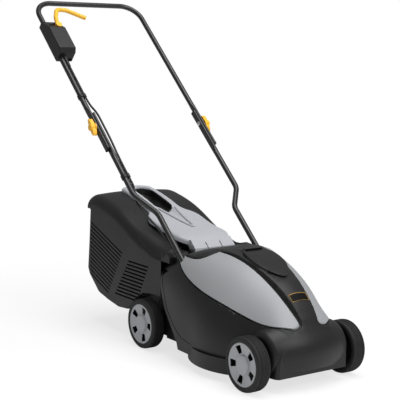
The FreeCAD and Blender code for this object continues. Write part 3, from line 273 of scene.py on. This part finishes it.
# %% The floor
FLOOR_HALF = 30.0
PAPER_TONE = (0.93, 0.93, 0.93, 1)
FADE_START, FADE_END = 0.45, 1.35
GLOW_NEAR_MOWER = 0.72
floor_shape = bmesh.new()
bmesh.ops.create_grid(floor_shape, x_segments=1, y_segments=1, size=FLOOR_HALF)
floor = as_object("floor", floor_shape)

paper = bpy.data.materials.new("studio_floor")
paper.use_nodes = True
tree = paper.node_tree
plain = tree.nodes["Principled BSDF"]
plain.inputs["Base Color"].default_value = PAPER_TONE
plain.inputs["Roughness"].default_value = 0.9
plain.inputs["Specular IOR Level"].default_value = 0.1
white = tree.nodes.new("ShaderNodeEmission")
place = tree.nodes.new("ShaderNodeTexCoord")
distance = tree.nodes.new("ShaderNodeVectorMath")
distance.operation = "LENGTH"
link(paper, place, "Object", distance, "Vector")
fade = tree.nodes.new("ShaderNodeMapRange")
fade.interpolation_type = "SMOOTHSTEP"
fade.inputs["From Min"].default_value = FADE_START
fade.inputs["From Max"].default_value = FADE_END
fade.inputs["To Min"].default_value = GLOW_NEAR_MOWER
link(paper, distance, "Value", fade, "Value")
rays = tree.nodes.new("ShaderNodeLightPath")
seen = tree.nodes.new("ShaderNodeMath")
seen.operation = "MULTIPLY"
link(paper, fade, "Result", seen, 0)
link(paper, rays, "Is Camera Ray", seen, 1)
blend = tree.nodes.new("ShaderNodeMixShader")
link(paper, seen, "Value", blend, "Fac")
tree.links.new(plain.outputs["BSDF"], blend.inputs[1])
tree.links.new(white.outputs["Emission"], blend.inputs[2])
tree.links.new(blend.outputs["Shader"], tree.nodes["Material Output"].inputs["Surface"])
floor.data.materials.append(paper)
print("the floor fades to white between", FADE_START, "and", FADE_END, "m")

# %% The world and the lamps
WORLD_LIGHT = 0.34

world = bpy.data.worlds.new("studio")
world.use_nodes = True
bpy.context.scene.world = world
sky = world.node_tree
soft_light = sky.nodes["Background"]
soft_light.inputs["Color"].default_value = (1, 1, 1, 1)
soft_light.inputs["Strength"].default_value = WORLD_LIGHT
backdrop = sky.nodes.new("ShaderNodeBackground")
backdrop.inputs["Color"].default_value = (1, 1, 1, 1)
path = sky.nodes.new("ShaderNodeLightPath")
camera_or_through_glass = sky.nodes.new("ShaderNodeMath")
camera_or_through_glass.operation = "MAXIMUM"
sky.links.new(path.outputs["Is Camera Ray"], camera_or_through_glass.inputs[0])
sky.links.new(path.outputs["Is Transmission Ray"], camera_or_through_glass.inputs[1])
choose = sky.nodes.new("ShaderNodeMixShader")
sky.links.new(camera_or_through_glass.outputs["Value"], choose.inputs["Fac"])
sky.links.new(soft_light.outputs["Background"], choose.inputs[1])
sky.links.new(backdrop.outputs["Background"], choose.inputs[2])
sky.links.new(choose.outputs["Shader"], sky.nodes["World Output"].inputs["Surface"])


def lamp(name, place, aim, size, watts):
    """A square soft box that shines from one place towards another."""
    data = bpy.data.lights.new(name, "AREA")
    data.size = size
    data.energy = watts
    light = bpy.data.objects.new(name, data)
    light.location = place
    light.rotation_euler = (Vector(aim) - Vector(place)).to_track_quat("-Z", "Y").to_euler()
    bpy.context.scene.collection.objects.link(light)


lamp("overhead_soft_box", (0.2, -0.7, 3.4), (0, 0, 0.2), 2.6, 96)
lamp("front_soft_box", (0.7, -3.0, 2.4), (0, 0, 0.3), 1.4, 42)
bpy.context.scene.view_settings.view_transform = "Standard"
print(len(bpy.data.lights), "lamps")

# %% [markdown]
# ## Tyres
# A small mower's tyre is a hard ring with rounded shoulders, one groove round it near the outside and
# a tread of many small blocks. The outline is spun a full turn, and every second face of the tread is
# pushed in, row by row out of step, to leave the blocks.

# %% Tyres with small tread blocks
WHEEL_RADIUS, WHEEL_WIDTH = 0.070, 0.039
WHEEL_OUTSIDE, HUB_RADIUS = 0.176, 0.0571
PITCHES = 72
FIRST_ROW, ROW_WIDTH = 0.25, 0.12
GAP_EDGE, GAP_DEPTH = 0.0003, 0.0010
TREAD_TOLERANCE = 0.0004


def spun_ring(outline, side, y, steps):
    """A closed outline of (depth behind the wheel's outer face, radius), spun round the axle."""
    shape = bmesh.new()
    ring = [shape.verts.new((side * (WHEEL_OUTSIDE - depth), y, WHEEL_RADIUS + radius))
            for depth, radius in outline]
    for a, b in zip(ring, ring[1:] + ring[:1]):
        shape.edges.new((a, b))
    bmesh.ops.spin(shape, geom=shape.verts[:] + shape.edges[:], cent=(0, y, WHEEL_RADIUS),
                   axis=(1, 0, 0), angle=math.tau, steps=steps, use_merge=True)
    bmesh.ops.dissolve_degenerate(shape, edges=shape.edges[:], dist=SAME_PLACE)
    flip_to_outside(shape)
    return shape


def tyre_shape(side, y):
    """One tyre; side is -1 on the mower's right and 1 on its left."""
    w, r = WHEEL_WIDTH, WHEEL_RADIUS
    outline = [(0.0006, HUB_RADIUS), (0.0002, r - 0.0085), (0.0003, r - 0.0058), (0.0013, r - 0.0030),
               (0.0032, r - 0.0013), (0.0056, r - 0.0006), (w * 0.20, r - 0.0003),
               (w * 0.21, r - 0.0014), (w * 0.24, r - 0.0014), (w * 0.25, r), (w * 0.37, r),
               (w * 0.49, r), (w * 0.61, r), (w * 0.73, r), (w * 0.84, r - 0.0003),
               (w - 0.0036, r - 0.0012), (w - 0.0014, r - 0.0030), (w - 0.0003, r - 0.0058),
               (w - 0.0002, r - 0.0085), (w - 0.0006, HUB_RADIUS)]
    return spun_ring(outline, side, y, 2 * PITCHES)


rear_axle_y = sum(corner.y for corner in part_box("rear_right_hub")) / 2
front_axle_y = sum(corner.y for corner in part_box("front_right_hub")) / 2
for end, axle_y in (("front", front_axle_y), ("rear", rear_axle_y)):
    for hand, side in HANDS:
        shape = tyre_shape(side, axle_y)
        centre = Vector((0, axle_y, WHEEL_RADIUS))
        gaps = []
        for face in shape.faces:
            middle = face.calc_center_median() - centre
            across = WHEEL_OUTSIDE - abs(middle.x)
            on_tread = math.hypot(middle.y, middle.z) > WHEEL_RADIUS - TREAD_TOLERANCE
            turn = math.atan2(middle.z, middle.y) / math.tau * 2 * PITCHES
            row = int((across / WHEEL_WIDTH - FIRST_ROW) / ROW_WIDTH)
            if on_tread and across > WHEEL_WIDTH * FIRST_ROW and (math.floor(turn) + row) % 2:
                gaps.append(face)
        bmesh.ops.inset_individual(shape, faces=gaps, thickness=GAP_EDGE, depth=-GAP_DEPTH)
        mount(f"{end}_{hand}_treaded_tyre", shape, f"{end}_{hand}_wheel", RUBBER, 30,
              [f"{end}_{hand}_tyre"])

# %% [markdown]
# ## Wheels
# The body of the wheel is black plastic, with a rim, a web that stands well back and a boss round the
# axle; its black also paints the shade seen through the windows. A grey cover is pressed over it: a
# shallow dish with five windows and a low round middle. Both are outlines that are spun round the
# axle, and the windows are cut afterwards, because a cut keeps the thickness of the dish visible at
# their edges.

# %% Black bodies and grey covers with windows
STEPS_ROUND = 96
BODY_OUTLINE = ((1.0, 57), (37.5, 57), (37.5, 54), (20, 53), (20, 13), (37.5, 12), (37.5, 5.05),
                (8, 5.05), (8, 10), (6.3, 11), (6.3, 15), (16, 16), (16, 50), (4.5, 51.5), (2.95, 53),
                (2.66, 55.3), (1.0, 55.6))
COVER_OUTLINE = ((0.2, 0), (-1.8, 0), (-1.75, 8), (-1.4, 17.5), (-1.1, 20.2), (-0.4, 22.6), (0.7, 24.2),
                 (3.9, 24.9), (4.6, 25.6), (4.5, 28), (3.7, 38), (1.6, 50), (0.6, 53.2), (0.6, 54.4),
                 (0.9, 55.0), (2.5, 55.2), (3.2, 51), (5.3, 39), (6.2, 28), (6.2, 23.2), (1.7, 22.4),
                 (1.2, 15.5), (6.2, 15.0), (6.2, 11.5), (1.0, 11.0), (0.4, 6))
WINDOWS = 5
WINDOW_CORNERS = ((-6.8, 28.5), (6.8, 28.5), (10.6, 49.0), (-10.6, 49.0))
WINDOW_ROUNDING = 2.2
CUT_START, CUT_LENGTH = 8, 12
FIRST_WINDOW = {"front": 48, "rear": 18}


def in_metres(outline):
    return [(depth * MM, radius * MM) for depth, radius in outline]


def window_cutters(side, y, first):
    """Rounded wedges, the first one `first` degrees forwards of straight up."""
    cutters = bmesh.new()
    corners = [cutters.verts.new((side * (WHEEL_OUTSIDE - CUT_START * MM), y + half * MM,
                                  WHEEL_RADIUS + radius * MM)) for half, radius in WINDOW_CORNERS]
    cutters.faces.new(corners)
    bmesh.ops.bevel(cutters, geom=corners, offset=WINDOW_ROUNDING * MM, segments=4, profile=0.5,
                    affect="VERTICES", material=-1)
    push_out(cutters, cutters.faces[:], (side * CUT_LENGTH * MM, 0, 0))
    bmesh.ops.rotate(cutters, verts=cutters.verts, cent=(0, y, WHEEL_RADIUS),
                     matrix=Matrix.Rotation(math.radians(first), 3, "X"))
    bmesh.ops.spin(cutters, geom=cutters.faces[:] + cutters.edges[:] + cutters.verts[:],
                   cent=(0, y, WHEEL_RADIUS), axis=(1, 0, 0), angle=math.tau * (WINDOWS - 1) / WINDOWS,
                   steps=WINDOWS - 1, use_duplicate=True)
    bmesh.ops.recalc_face_normals(cutters, faces=cutters.faces)
    return cutters


def cut_away(shape, cutters):
    """The first bmesh with the second cut out of it."""
    whole, tool = as_object("whole", shape), as_object("tool", cutters)
    cut = whole.modifiers.new("cut", "BOOLEAN")
    cut.operation = "DIFFERENCE"
    cut.solver = "EXACT"
    cut.object = tool
    done = mesh_of(whole)
    bpy.data.objects.remove(tool)
    result = bmesh.new()
    result.from_mesh(done)
    bpy.data.meshes.remove(done)
    return result


for end, axle_y in (("front", front_axle_y), ("rear", rear_axle_y)):
    for hand, side in HANDS:
        wheel = f"{end}_{hand}_wheel"
        # The body's black is partly painted shade: it is what the windows show.
        body_black_for_shade = spun_ring(in_metres(BODY_OUTLINE), side, axle_y, STEPS_ROUND)
        mount(f"{end}_{hand}_wheel_body", body_black_for_shade, wheel, BLACK_PLASTIC, 30,
              [f"{end}_{hand}_hub"])
        dish = cut_away(spun_ring(in_metres(COVER_OUTLINE), side, axle_y, STEPS_ROUND),
                        window_cutters(side, axle_y, FIRST_WINDOW[end]))
        mount(f"{end}_{hand}_wheel_cover", dish, wheel, WHEEL_GREY, 32,
              [f"{end}_{hand}_cap"])

# %% [markdown]
# ## The cable
# One cable runs from the switch box down the right-hand tubes and into the cover. It is clipped to the
# tubes, passes the fold of the handle and dips under the bend. A smooth spline through a few points is
# how a stiff rubber cable lies. The mesh is made from the spline.

# %% Cable along the handle
CABLE_DIAMETER = 0.0064
CABLE_ROUTE = ((-0.1785, 0.242, 0.0060), (-0.1785, 0.350, 0.0060), (-0.1785, 0.452, 0.0060),
               (-0.1667, 0.486, 0.0070), (-0.1667, 0.538, 0.0070), (-0.1667, 0.596, 0.0070),
               (-0.1695, 0.656, 0.0060), (-0.1695, 0.750, 0.0060), (-0.1658, 0.764, 0.0020),
               (-0.1658, 0.780, -0.0060), (-0.1685, 0.803, -0.0148), (-0.1695, 0.830, -0.0160),
               (-0.1560, 0.870, -0.0165), (-0.1410, 0.915, -0.0155), (-0.1310, 0.966, -0.0150),
               (-0.1290, 1.002, -0.0150), (-0.1290, 1.046, -0.0150))
SPLINE_ORDER, SPLINE_STEPS, TUBE_ROUNDNESS = 3, 8, 4
TUBE_SHARP_ANGLE = 40


def spline_curve(name, points, radius=0.0):
    """A curve object of one open NURBS spline, with its points as control points."""
    data = bpy.data.curves.new(name, "CURVE")
    data.dimensions = "3D"
    line = data.splines.new("NURBS")
    line.points.add(len(points) - 1)
    for place, point in zip(line.points, points):
        place.co = (*point, 1)
    line.order_u = SPLINE_ORDER
    line.use_endpoint_u = True
    data.resolution_u = SPLINE_STEPS
    data.bevel_depth = radius
    data.bevel_resolution = TUBE_ROUNDNESS
    data.use_fill_caps = True
    curve = bpy.data.objects.new(name, data)
    bpy.context.scene.collection.objects.link(curve)
    return curve


def tube_along(name, points, radius, material):
    """A mesh tube along a smooth spline."""
    mesh = mesh_of(spline_curve(name + "_line", points, radius))
    shape = bmesh.new()
    shape.from_mesh(mesh)
    flip_to_outside(shape)
    shape.to_mesh(mesh)
    shape.free()
    mesh.materials.clear()
    mesh.materials.append(material)
    mesh.shade_smooth()
    mesh.set_sharp_from_angle(angle=math.radians(TUBE_SHARP_ANGLE))
    piece = bpy.data.objects.new(name, mesh)
    bpy.context.scene.collection.objects.link(piece)
    print(name, "has", len(mesh.polygons), "faces")
    return piece


cable = tube_along("mains_cable", [on_handle(*place) for place in CABLE_ROUTE], CABLE_DIAMETER / 2,
                   CABLE_RUBBER)
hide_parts("cable_upper", "cable_lower")
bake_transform(cable)

# %% [markdown]
# ## The raised band of the cover
# Between the two panels the cover carries a band that stands a little above the rest and is nearly
# flat on top. A copy of the cover is made, its long triangles are divided there, and the points are
# lifted. At the front the whole band rises; further back, beside the tongue, only its sides do. The
# lift ends where the panels begin. A low lip makes the air slit, and its step is painted near-black
# as shade.

# %% Lift the middle of the cover
# Each row has y in metres, then the lift of the middle and the extra lift of the sides in millimetres.
BAND_LIFT = ((-0.2300, 0.0, 0.0), (-0.2700, 0.0, 4.0), (-0.3237, 0.0, 8.0), (-0.3677, 0.8, 8.0),
             (-0.4187, 3.5, 7.5), (-0.4550, 8.0, 5.0), (-0.4687, 11.0, 3.0), (-0.5087, 13.0, 1.0),
             (-0.5350, 12.0, 0.5), (-0.5520, 8.0, 0.0), (-0.5640, 0.0, 0.0))
PANEL_FRONT_Y, PANEL_EDGE_THERE, PANEL_SPREAD = -0.55, 0.031, 0.143
BAND_FOOT, BAND_FULL = 0.146, 0.168
BAND_EDGE_START, BAND_EDGE_END = 0.86, 1.02
SLIT_Y, SLIT_HALF = -0.3237, 0.0295
LIP_HEIGHT, LIP_STEP, LIP_LENGTH = 3.4, 0.0012, 0.055
DIP_DEPTH, DIP_LENGTH = 1.8, 0.014
BAND_MESH, SLIT_MESH, HOLLOW_MESH = 0.005, 0.0012, 0.004
MOST_ROUNDS = 6


def smooth_step(value, low, high):
    """0 below low, 1 above high, and a soft rise between."""
    t = min(1.0, max(0.0, (value - low) / (high - low)))
    return t * t * (3 - 2 * t)


def slit_lip(point):
    """A low lip behind the air slit and a shallow dip before it; both fade out."""
    rise = smooth_step(point.y, SLIT_Y, SLIT_Y + LIP_STEP)
    lip = LIP_HEIGHT * rise * (1 - smooth_step(point.y, SLIT_Y, SLIT_Y + LIP_LENGTH))
    dip = -DIP_DEPTH * (1 - rise) * smooth_step(point.y, SLIT_Y - DIP_LENGTH, SLIT_Y)
    return (lip + dip) * MM * (1 - smooth_step(abs(point.x), SLIT_HALF - 0.003, SLIT_HALF + 0.001))


def band_lift(point):
    """How far a point of the cover is lifted, in metres."""
    if not BAND_LIFT[-1][0] < point.y < BAND_LIFT[0][0]:
        return 0.0
    panel_edge = PANEL_EDGE_THERE + (point.y - PANEL_FRONT_Y) * PANEL_SPREAD
    for (y_a, middle_a, side_a), (y_b, middle_b, side_b) in zip(BAND_LIFT, BAND_LIFT[1:]):
        if y_b <= point.y <= y_a:
            part = (y_a - point.y) / (y_a - y_b)
            lift = middle_a + (middle_b - middle_a) * part
            lift += (side_a + (side_b - side_a) * part) * min(1, abs(point.x) / panel_edge) ** 2
    inside_band = 1 - smooth_step(abs(point.x), BAND_EDGE_START * panel_edge, BAND_EDGE_END * panel_edge)
    return slit_lip(point) + lift * MM * inside_band * smooth_step(point.z, BAND_FOOT, BAND_FULL)


def divide(shape, wanted, longest):
    """Divide the long edges of a region until none is longer than wished."""
    for _ in range(MOST_ROUNDS):
        long_edges = [edge for edge in shape.edges
                      if edge.calc_length() > longest and any(wanted(v.co) for v in edge.verts)]
        if not long_edges:
            break
        bmesh.ops.subdivide_edges(shape, edges=long_edges, cuts=1)
        bmesh.ops.triangulate(shape, faces=[face for face in shape.faces if len(face.verts) > 3])


def copy_of(node_name):
    """A merged copy of a CAD piece."""
    shape = bmesh.new()
    shape.from_mesh(nodes[node_name].data)
    bmesh.ops.remove_doubles(shape, verts=shape.verts, dist=SAME_PLACE)
    return shape


def on_band(place):
    return abs(place.x) < 0.085 and place.y < -0.21


def at_slit(place):
    return abs(place.x) < 0.034 and abs(place.y - SLIT_Y) < 0.003 and place.z > 0.28


lifted = copy_of("motor_cover")
divide(lifted, on_band, BAND_MESH)
divide(lifted, at_slit, SLIT_MESH)
for vertex in lifted.verts:
    vertex.co.z += band_lift(vertex.co)
raised_cover = mount("raised_motor_cover", lifted, "mower", BLACK_PLASTIC, 28,
                     ["motor_cover"])
# The near-black of the slit's step is painted shade under the lip.
SLIT_PAINTED_SHADE = finish("slit_shadow_black", srgb(5, 5, 5), 0.8, 0.002, 0.00001, 0.02, shine=0.05)
raised_cover.data.materials.append(SLIT_PAINTED_SHADE)
painted_shade_step_faces = [face for face in raised_cover.data.polygons
              if face.normal.y < -0.5 and face.center.z > 0.29
              and abs(face.center.y - SLIT_Y) < 0.003 and abs(face.center.x) < SLIT_HALF - 0.001]
for face in painted_shade_step_faces:
    face.material_index = 1
print(len(painted_shade_step_faces), "faces of the slit are dark")

# %% [markdown]
# ## The hand hole
# Fingers need room under the carrying loop, so the lid has a hollow below it. The hollow is pressed
# into a copy of the lid in the same way. The hole itself is lined with a thin near-black sheet,
# which paints the shade inside it.

# %% A hollow in the lid
HOLE_FRONT, HOLE_REAR, HOLE_HALF = 0.0903, 0.2463, 0.030
HOLLOW_DEPTH, HOLLOW_FLOOR, HOLLOW_EDGE = 0.020, 0.025, 0.037
LID_WALL, LID_TOP = 0.25, 0.30


def beside_hole_line(place):
    """Distance in plan from the hand hole's middle line."""
    along = min(max(place.y, HOLE_FRONT + HOLE_HALF), HOLE_REAR - HOLE_HALF)
    return math.hypot(place.x, place.y - along)


def hollow_lift(place):
    """How far a point of the lid moves, always downwards; its lower parts stay."""
    part = 1 - smooth_step(beside_hole_line(place), HOLLOW_FLOOR, HOLLOW_EDGE)
    return -HOLLOW_DEPTH * part * smooth_step(place.z, LID_WALL, LID_TOP)


pressed = copy_of("grass_box_lid")
divide(pressed, lambda place: beside_hole_line(place) < 0.050 and place.z > 0.24, HOLLOW_MESH)
for vertex in pressed.verts:
    vertex.co.z += hollow_lift(vertex.co)
hollow_lid = mount("grass_box_lid_with_hollow", pressed, "grass_box", BOX_PLASTIC, 28,
                   ["grass_box_lid"])

# %% A near-black lining for the hole, as painted shade
SHADE_LINING_TOP, SHADE_LINING_FOOT, SHADE_LINING_WALL = 0.0022, 0.0185, 0.0008
FLAP_HEIGHTS = ((0.0683, 0.357), (0.0963, 0.366), (0.1363, 0.380), (0.2063, 0.400), (0.2563, 0.411))


def flap_top(y):
    """Height of the flap's upper side along its middle."""
    for (y_a, z_a), (y_b, z_b) in zip(FLAP_HEIGHTS, FLAP_HEIGHTS[1:]):
        if y <= y_b:
            return z_a + (z_b - z_a) * (y - y_a) / (y_b - y_a)
    return FLAP_HEIGHTS[-1][1]


shade_lining = bmesh.new()
bmesh.ops.create_circle(shade_lining, segments=48, radius=HOLE_HALF - 0.0002)
stretch = (HOLE_REAR - HOLE_FRONT) / 2 - HOLE_HALF
for vertex in shade_lining.verts:
    vertex.co.y += (HOLE_FRONT + HOLE_REAR) / 2 + (stretch if vertex.co.y > SAME_PLACE else -stretch)
long_runs = [edge for edge in shade_lining.edges if edge.calc_length() > 0.02]
bmesh.ops.subdivide_edges(shade_lining, edges=long_runs, cuts=10)
hanging = bmesh.ops.extrude_edge_only(shade_lining, edges=shade_lining.edges[:])
lower = {part for part in hanging["geom"] if isinstance(part, bmesh.types.BMVert)}
for vertex in shade_lining.verts:
    vertex.co.z = flap_top(vertex.co.y) - (SHADE_LINING_FOOT if vertex in lower else SHADE_LINING_TOP)
bmesh.ops.recalc_face_normals(shade_lining, faces=shade_lining.faces)
bmesh.ops.solidify(shade_lining, geom=shade_lining.faces[:], thickness=-SHADE_LINING_WALL)
flip_to_outside(shade_lining)
# The lining's near-black is painted shade inside the hand hole.
mount("hand_hole_shade_lining", shade_lining, "rear_flap", DARK_PLASTIC, 35)

# %% [markdown]
# ## The shade sheets
# A thin near-black sheet stands just inside each louvred wall: painted shade inside the box, against
# daylight through it. At the top of the rear louvres a little still shows from behind.

# %% Near-black sheets of painted shade behind the louvres
# The near-black of these sheets is painted shade inside the box.
SHADE_SHEET = finish("painted_shade_sheet", srgb(7, 7, 7), 0.9, 0.0014, 0.0003, 0.02, shine=0.05)
SHADE_SHEET_EDGE = ((-0.038, 0.236), (-0.038, 0.170), (-0.005, 0.164), (0.030, 0.142), (0.056, 0.114),
              (0.076, 0.098), (0.122, 0.094), (0.180, 0.103), (0.247, 0.119), (0.280, 0.136),
              (0.286, 0.150), (0.286, 0.246), (0.110, 0.246), (0.070, 0.236))
SHADE_SHEET_THICKNESS = 0.0007
wall_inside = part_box("grass_box_body")[1].x - 0.0038
for hand, side in HANDS:
    shade_sheet = bmesh.new()
    shade_sheet.faces.new([shade_sheet.verts.new((side * wall_inside, y, z)) for y, z in SHADE_SHEET_EDGE])
    push_out(shade_sheet, shade_sheet.faces[:], (side * SHADE_SHEET_THICKNESS, 0, 0))
    bmesh.ops.recalc_face_normals(shade_sheet, faces=shade_sheet.faces)
    mount(f"louvre_shade_sheet_{hand}", shade_sheet, "grass_box", SHADE_SHEET, 30)

# %% [markdown]
# ## The rim of the trough
# A rounded rim runs from the hand hole round the tapered trough in the flap. Its points are dropped onto
# the flap's own surface.

# %% A rim round the trough
RIM_LINE = ((-0.0290, 0.0930), (-0.0240, 0.0700), (-0.0170, 0.0350), (-0.0115, 0.0020),
            (-0.0070, -0.0280), (-0.0030, -0.0440), (0.0030, -0.0440), (0.0070, -0.0280),
            (0.0115, 0.0020), (0.0170, 0.0350), (0.0240, 0.0700), (0.0290, 0.0930))
RIM_RADIUS, RIM_LIFT = 0.0036, Vector((0, 0, 0.0014))
DOWNWARDS, ABOVE_ALL = Vector((0, 0, -1)), 0.6


def drop_onto(surface, x, y):
    """The point of a surface straight below a high one."""
    return surface.ray_cast(Vector((x, y, ABOVE_ALL)), DOWNWARDS)[0]


flap_surface = surface_of(nodes["rear_flap"])
rim = tube_along("trough_rim", [drop_onto(flap_surface, x, y) + RIM_LIFT for x, y in RIM_LINE],
                 RIM_RADIUS, PALE_GREY)
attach(rim, "rear_flap")

# %% [markdown]
# ## The line on the lid
# A thin raised line sweeps over the lid of the grass box, down its side and forwards to the wing. The
# line is laid roughly and each point is then moved to the nearest place on the lid's own
# surface, so it follows the moulding.

# %% Raised line on both sides of the lid
LID_LINE = ((-0.062, 0.161, 0.378), (-0.100, 0.118, 0.358), (-0.124, 0.070, 0.330),
            (-0.140, 0.030, 0.305), (-0.149, -0.010, 0.285), (-0.150, -0.050, 0.274),
            (-0.150, -0.090, 0.268), (-0.150, -0.100, 0.266))
LID_LINE_RADIUS = 0.0010
lid_surface = surface_of(hollow_lid)
for hand, mirror in (("right", 1), ("left", -1)):
    guide = mesh_of(spline_curve("guide", [Vector((mirror * x, y, z)) for x, y, z in LID_LINE]))
    on_lid = [lid_surface.find_nearest(vertex.co)[0] for vertex in guide.vertices]
    bead = tube_along(f"lid_line_{hand}", on_lid[::3], LID_LINE_RADIUS, BOX_PLASTIC)
    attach(bead, "grass_box")

# %% [markdown]
# ## The bare plate
# A small black plate sits at the front of the cover and follows its curve. It carries nothing here but
# a thin gold line round a sunk middle.

# %% Plate on the cover
PLATE_BLACK = finish("plate_black_gloss", srgb(4, 4, 4), 0.5, 0.002, 0.00001, 0.02, shine=0.12)
GOLD_LINE = finish("dull_gold_line", srgb(150, 118, 52), 0.4, 0.001, 0.00001, 0.03, 0.3)
PLATE_Y, PLATE_WIDTH, PLATE_LENGTH = -0.5125, 0.056, 0.018
PLATE_THICKNESS, PLATE_RIM = 0.0016, 0.0014
PLATE_BEDDING, PLATE_MIDDLE_SUNK = 0.0004, 0.0005

cover_surface = surface_of(raised_cover)
plate = bmesh.new()
bmesh.ops.create_grid(plate, x_segments=12, y_segments=10, size=0.5)
bmesh.ops.scale(plate, verts=plate.verts, vec=(PLATE_WIDTH, PLATE_LENGTH, 1))
bmesh.ops.translate(plate, verts=plate.verts, vec=(0, PLATE_Y, 0))
for vertex in plate.verts:
    vertex.co.z = drop_onto(cover_surface, vertex.co.x, vertex.co.y).z - PLATE_BEDDING
push_out(plate, plate.faces[:], (0, 0, PLATE_THICKNESS))
flip_to_outside(plate)
top = [face for face in plate.faces if face.normal.z > 0.5]
bmesh.ops.inset_region(plate, faces=top, thickness=PLATE_RIM, depth=0)
inner = [face for face in plate.faces if face.normal.z > 0.5 and all(
    abs(v.co.x) < PLATE_WIDTH / 2 - PLATE_RIM * 0.5
    and abs(v.co.y - PLATE_Y) < PLATE_LENGTH / 2 - PLATE_RIM * 0.5 for v in face.verts)]
bmesh.ops.translate(plate, verts=list({v for face in inner for v in face.verts}),
                    vec=(0, 0, -PLATE_MIDDLE_SUNK))
gold_faces = [face for face in plate.faces if face.normal.z > 0.3 and face not in inner]
for face in gold_faces:
    face.material_index = 1
print(len(gold_faces), "faces in the plate's gold line")
bare_plate = mount("front_bare_plate", plate, "mower", PLATE_BLACK, 30)
bare_plate.data.materials.append(GOLD_LINE)

# %% [markdown]
# ## Plugs in the flattened tubes
# Each flattened tube end is closed by a small plastic plug with a rim, so no sharp edge is left.

# %% Tube plugs
PLUG_RADIUS, PLUG_HALF_STRETCH = 0.0044, 0.0059
PLUG_SUNK, PLUG_LENGTH, PLUG_ROUNDING = 0.001, 0.003, 0.0012


def tube_plug(name, x, s_end, towards, body):
    """Rounded plug in a flattened tube end; towards is 1 for a lower end and -1 for an upper one."""
    shape = bmesh.new()
    bmesh.ops.create_circle(shape, cap_ends=True, segments=32, radius=PLUG_RADIUS)
    for vertex in shape.verts:
        vertex.co.y += math.copysign(PLUG_HALF_STRETCH, vertex.co.y)
    turned = Matrix((ACROSS, ABOVE, DOWN * towards)).transposed()
    bmesh.ops.rotate(shape, verts=shape.verts, cent=(0, 0, 0), matrix=turned)
    bmesh.ops.translate(shape, verts=shape.verts, vec=on_handle(x, s_end - towards * PLUG_SUNK))
    push_out(shape, shape.faces[:], DOWN * towards * PLUG_LENGTH)
    flip_to_outside(shape)
    cap = [face for face in shape.faces if face.normal.dot(DOWN * towards) > 0.9]
    bmesh.ops.bevel(shape, geom=[edge for face in cap for edge in face.edges], offset=PLUG_ROUNDING,
                    segments=3, profile=0.5, affect="EDGES", material=-1)
    return mount(name, shape, body, DARK_PLASTIC)


for hand, side in HANDS:
    tube_plug(f"lower_end_plug_{hand}", side * 0.188, 0.626, 1, "upper_handle")
    tube_plug(f"upper_end_plug_{hand}", side * 0.179, 0.489, -1, "mower")
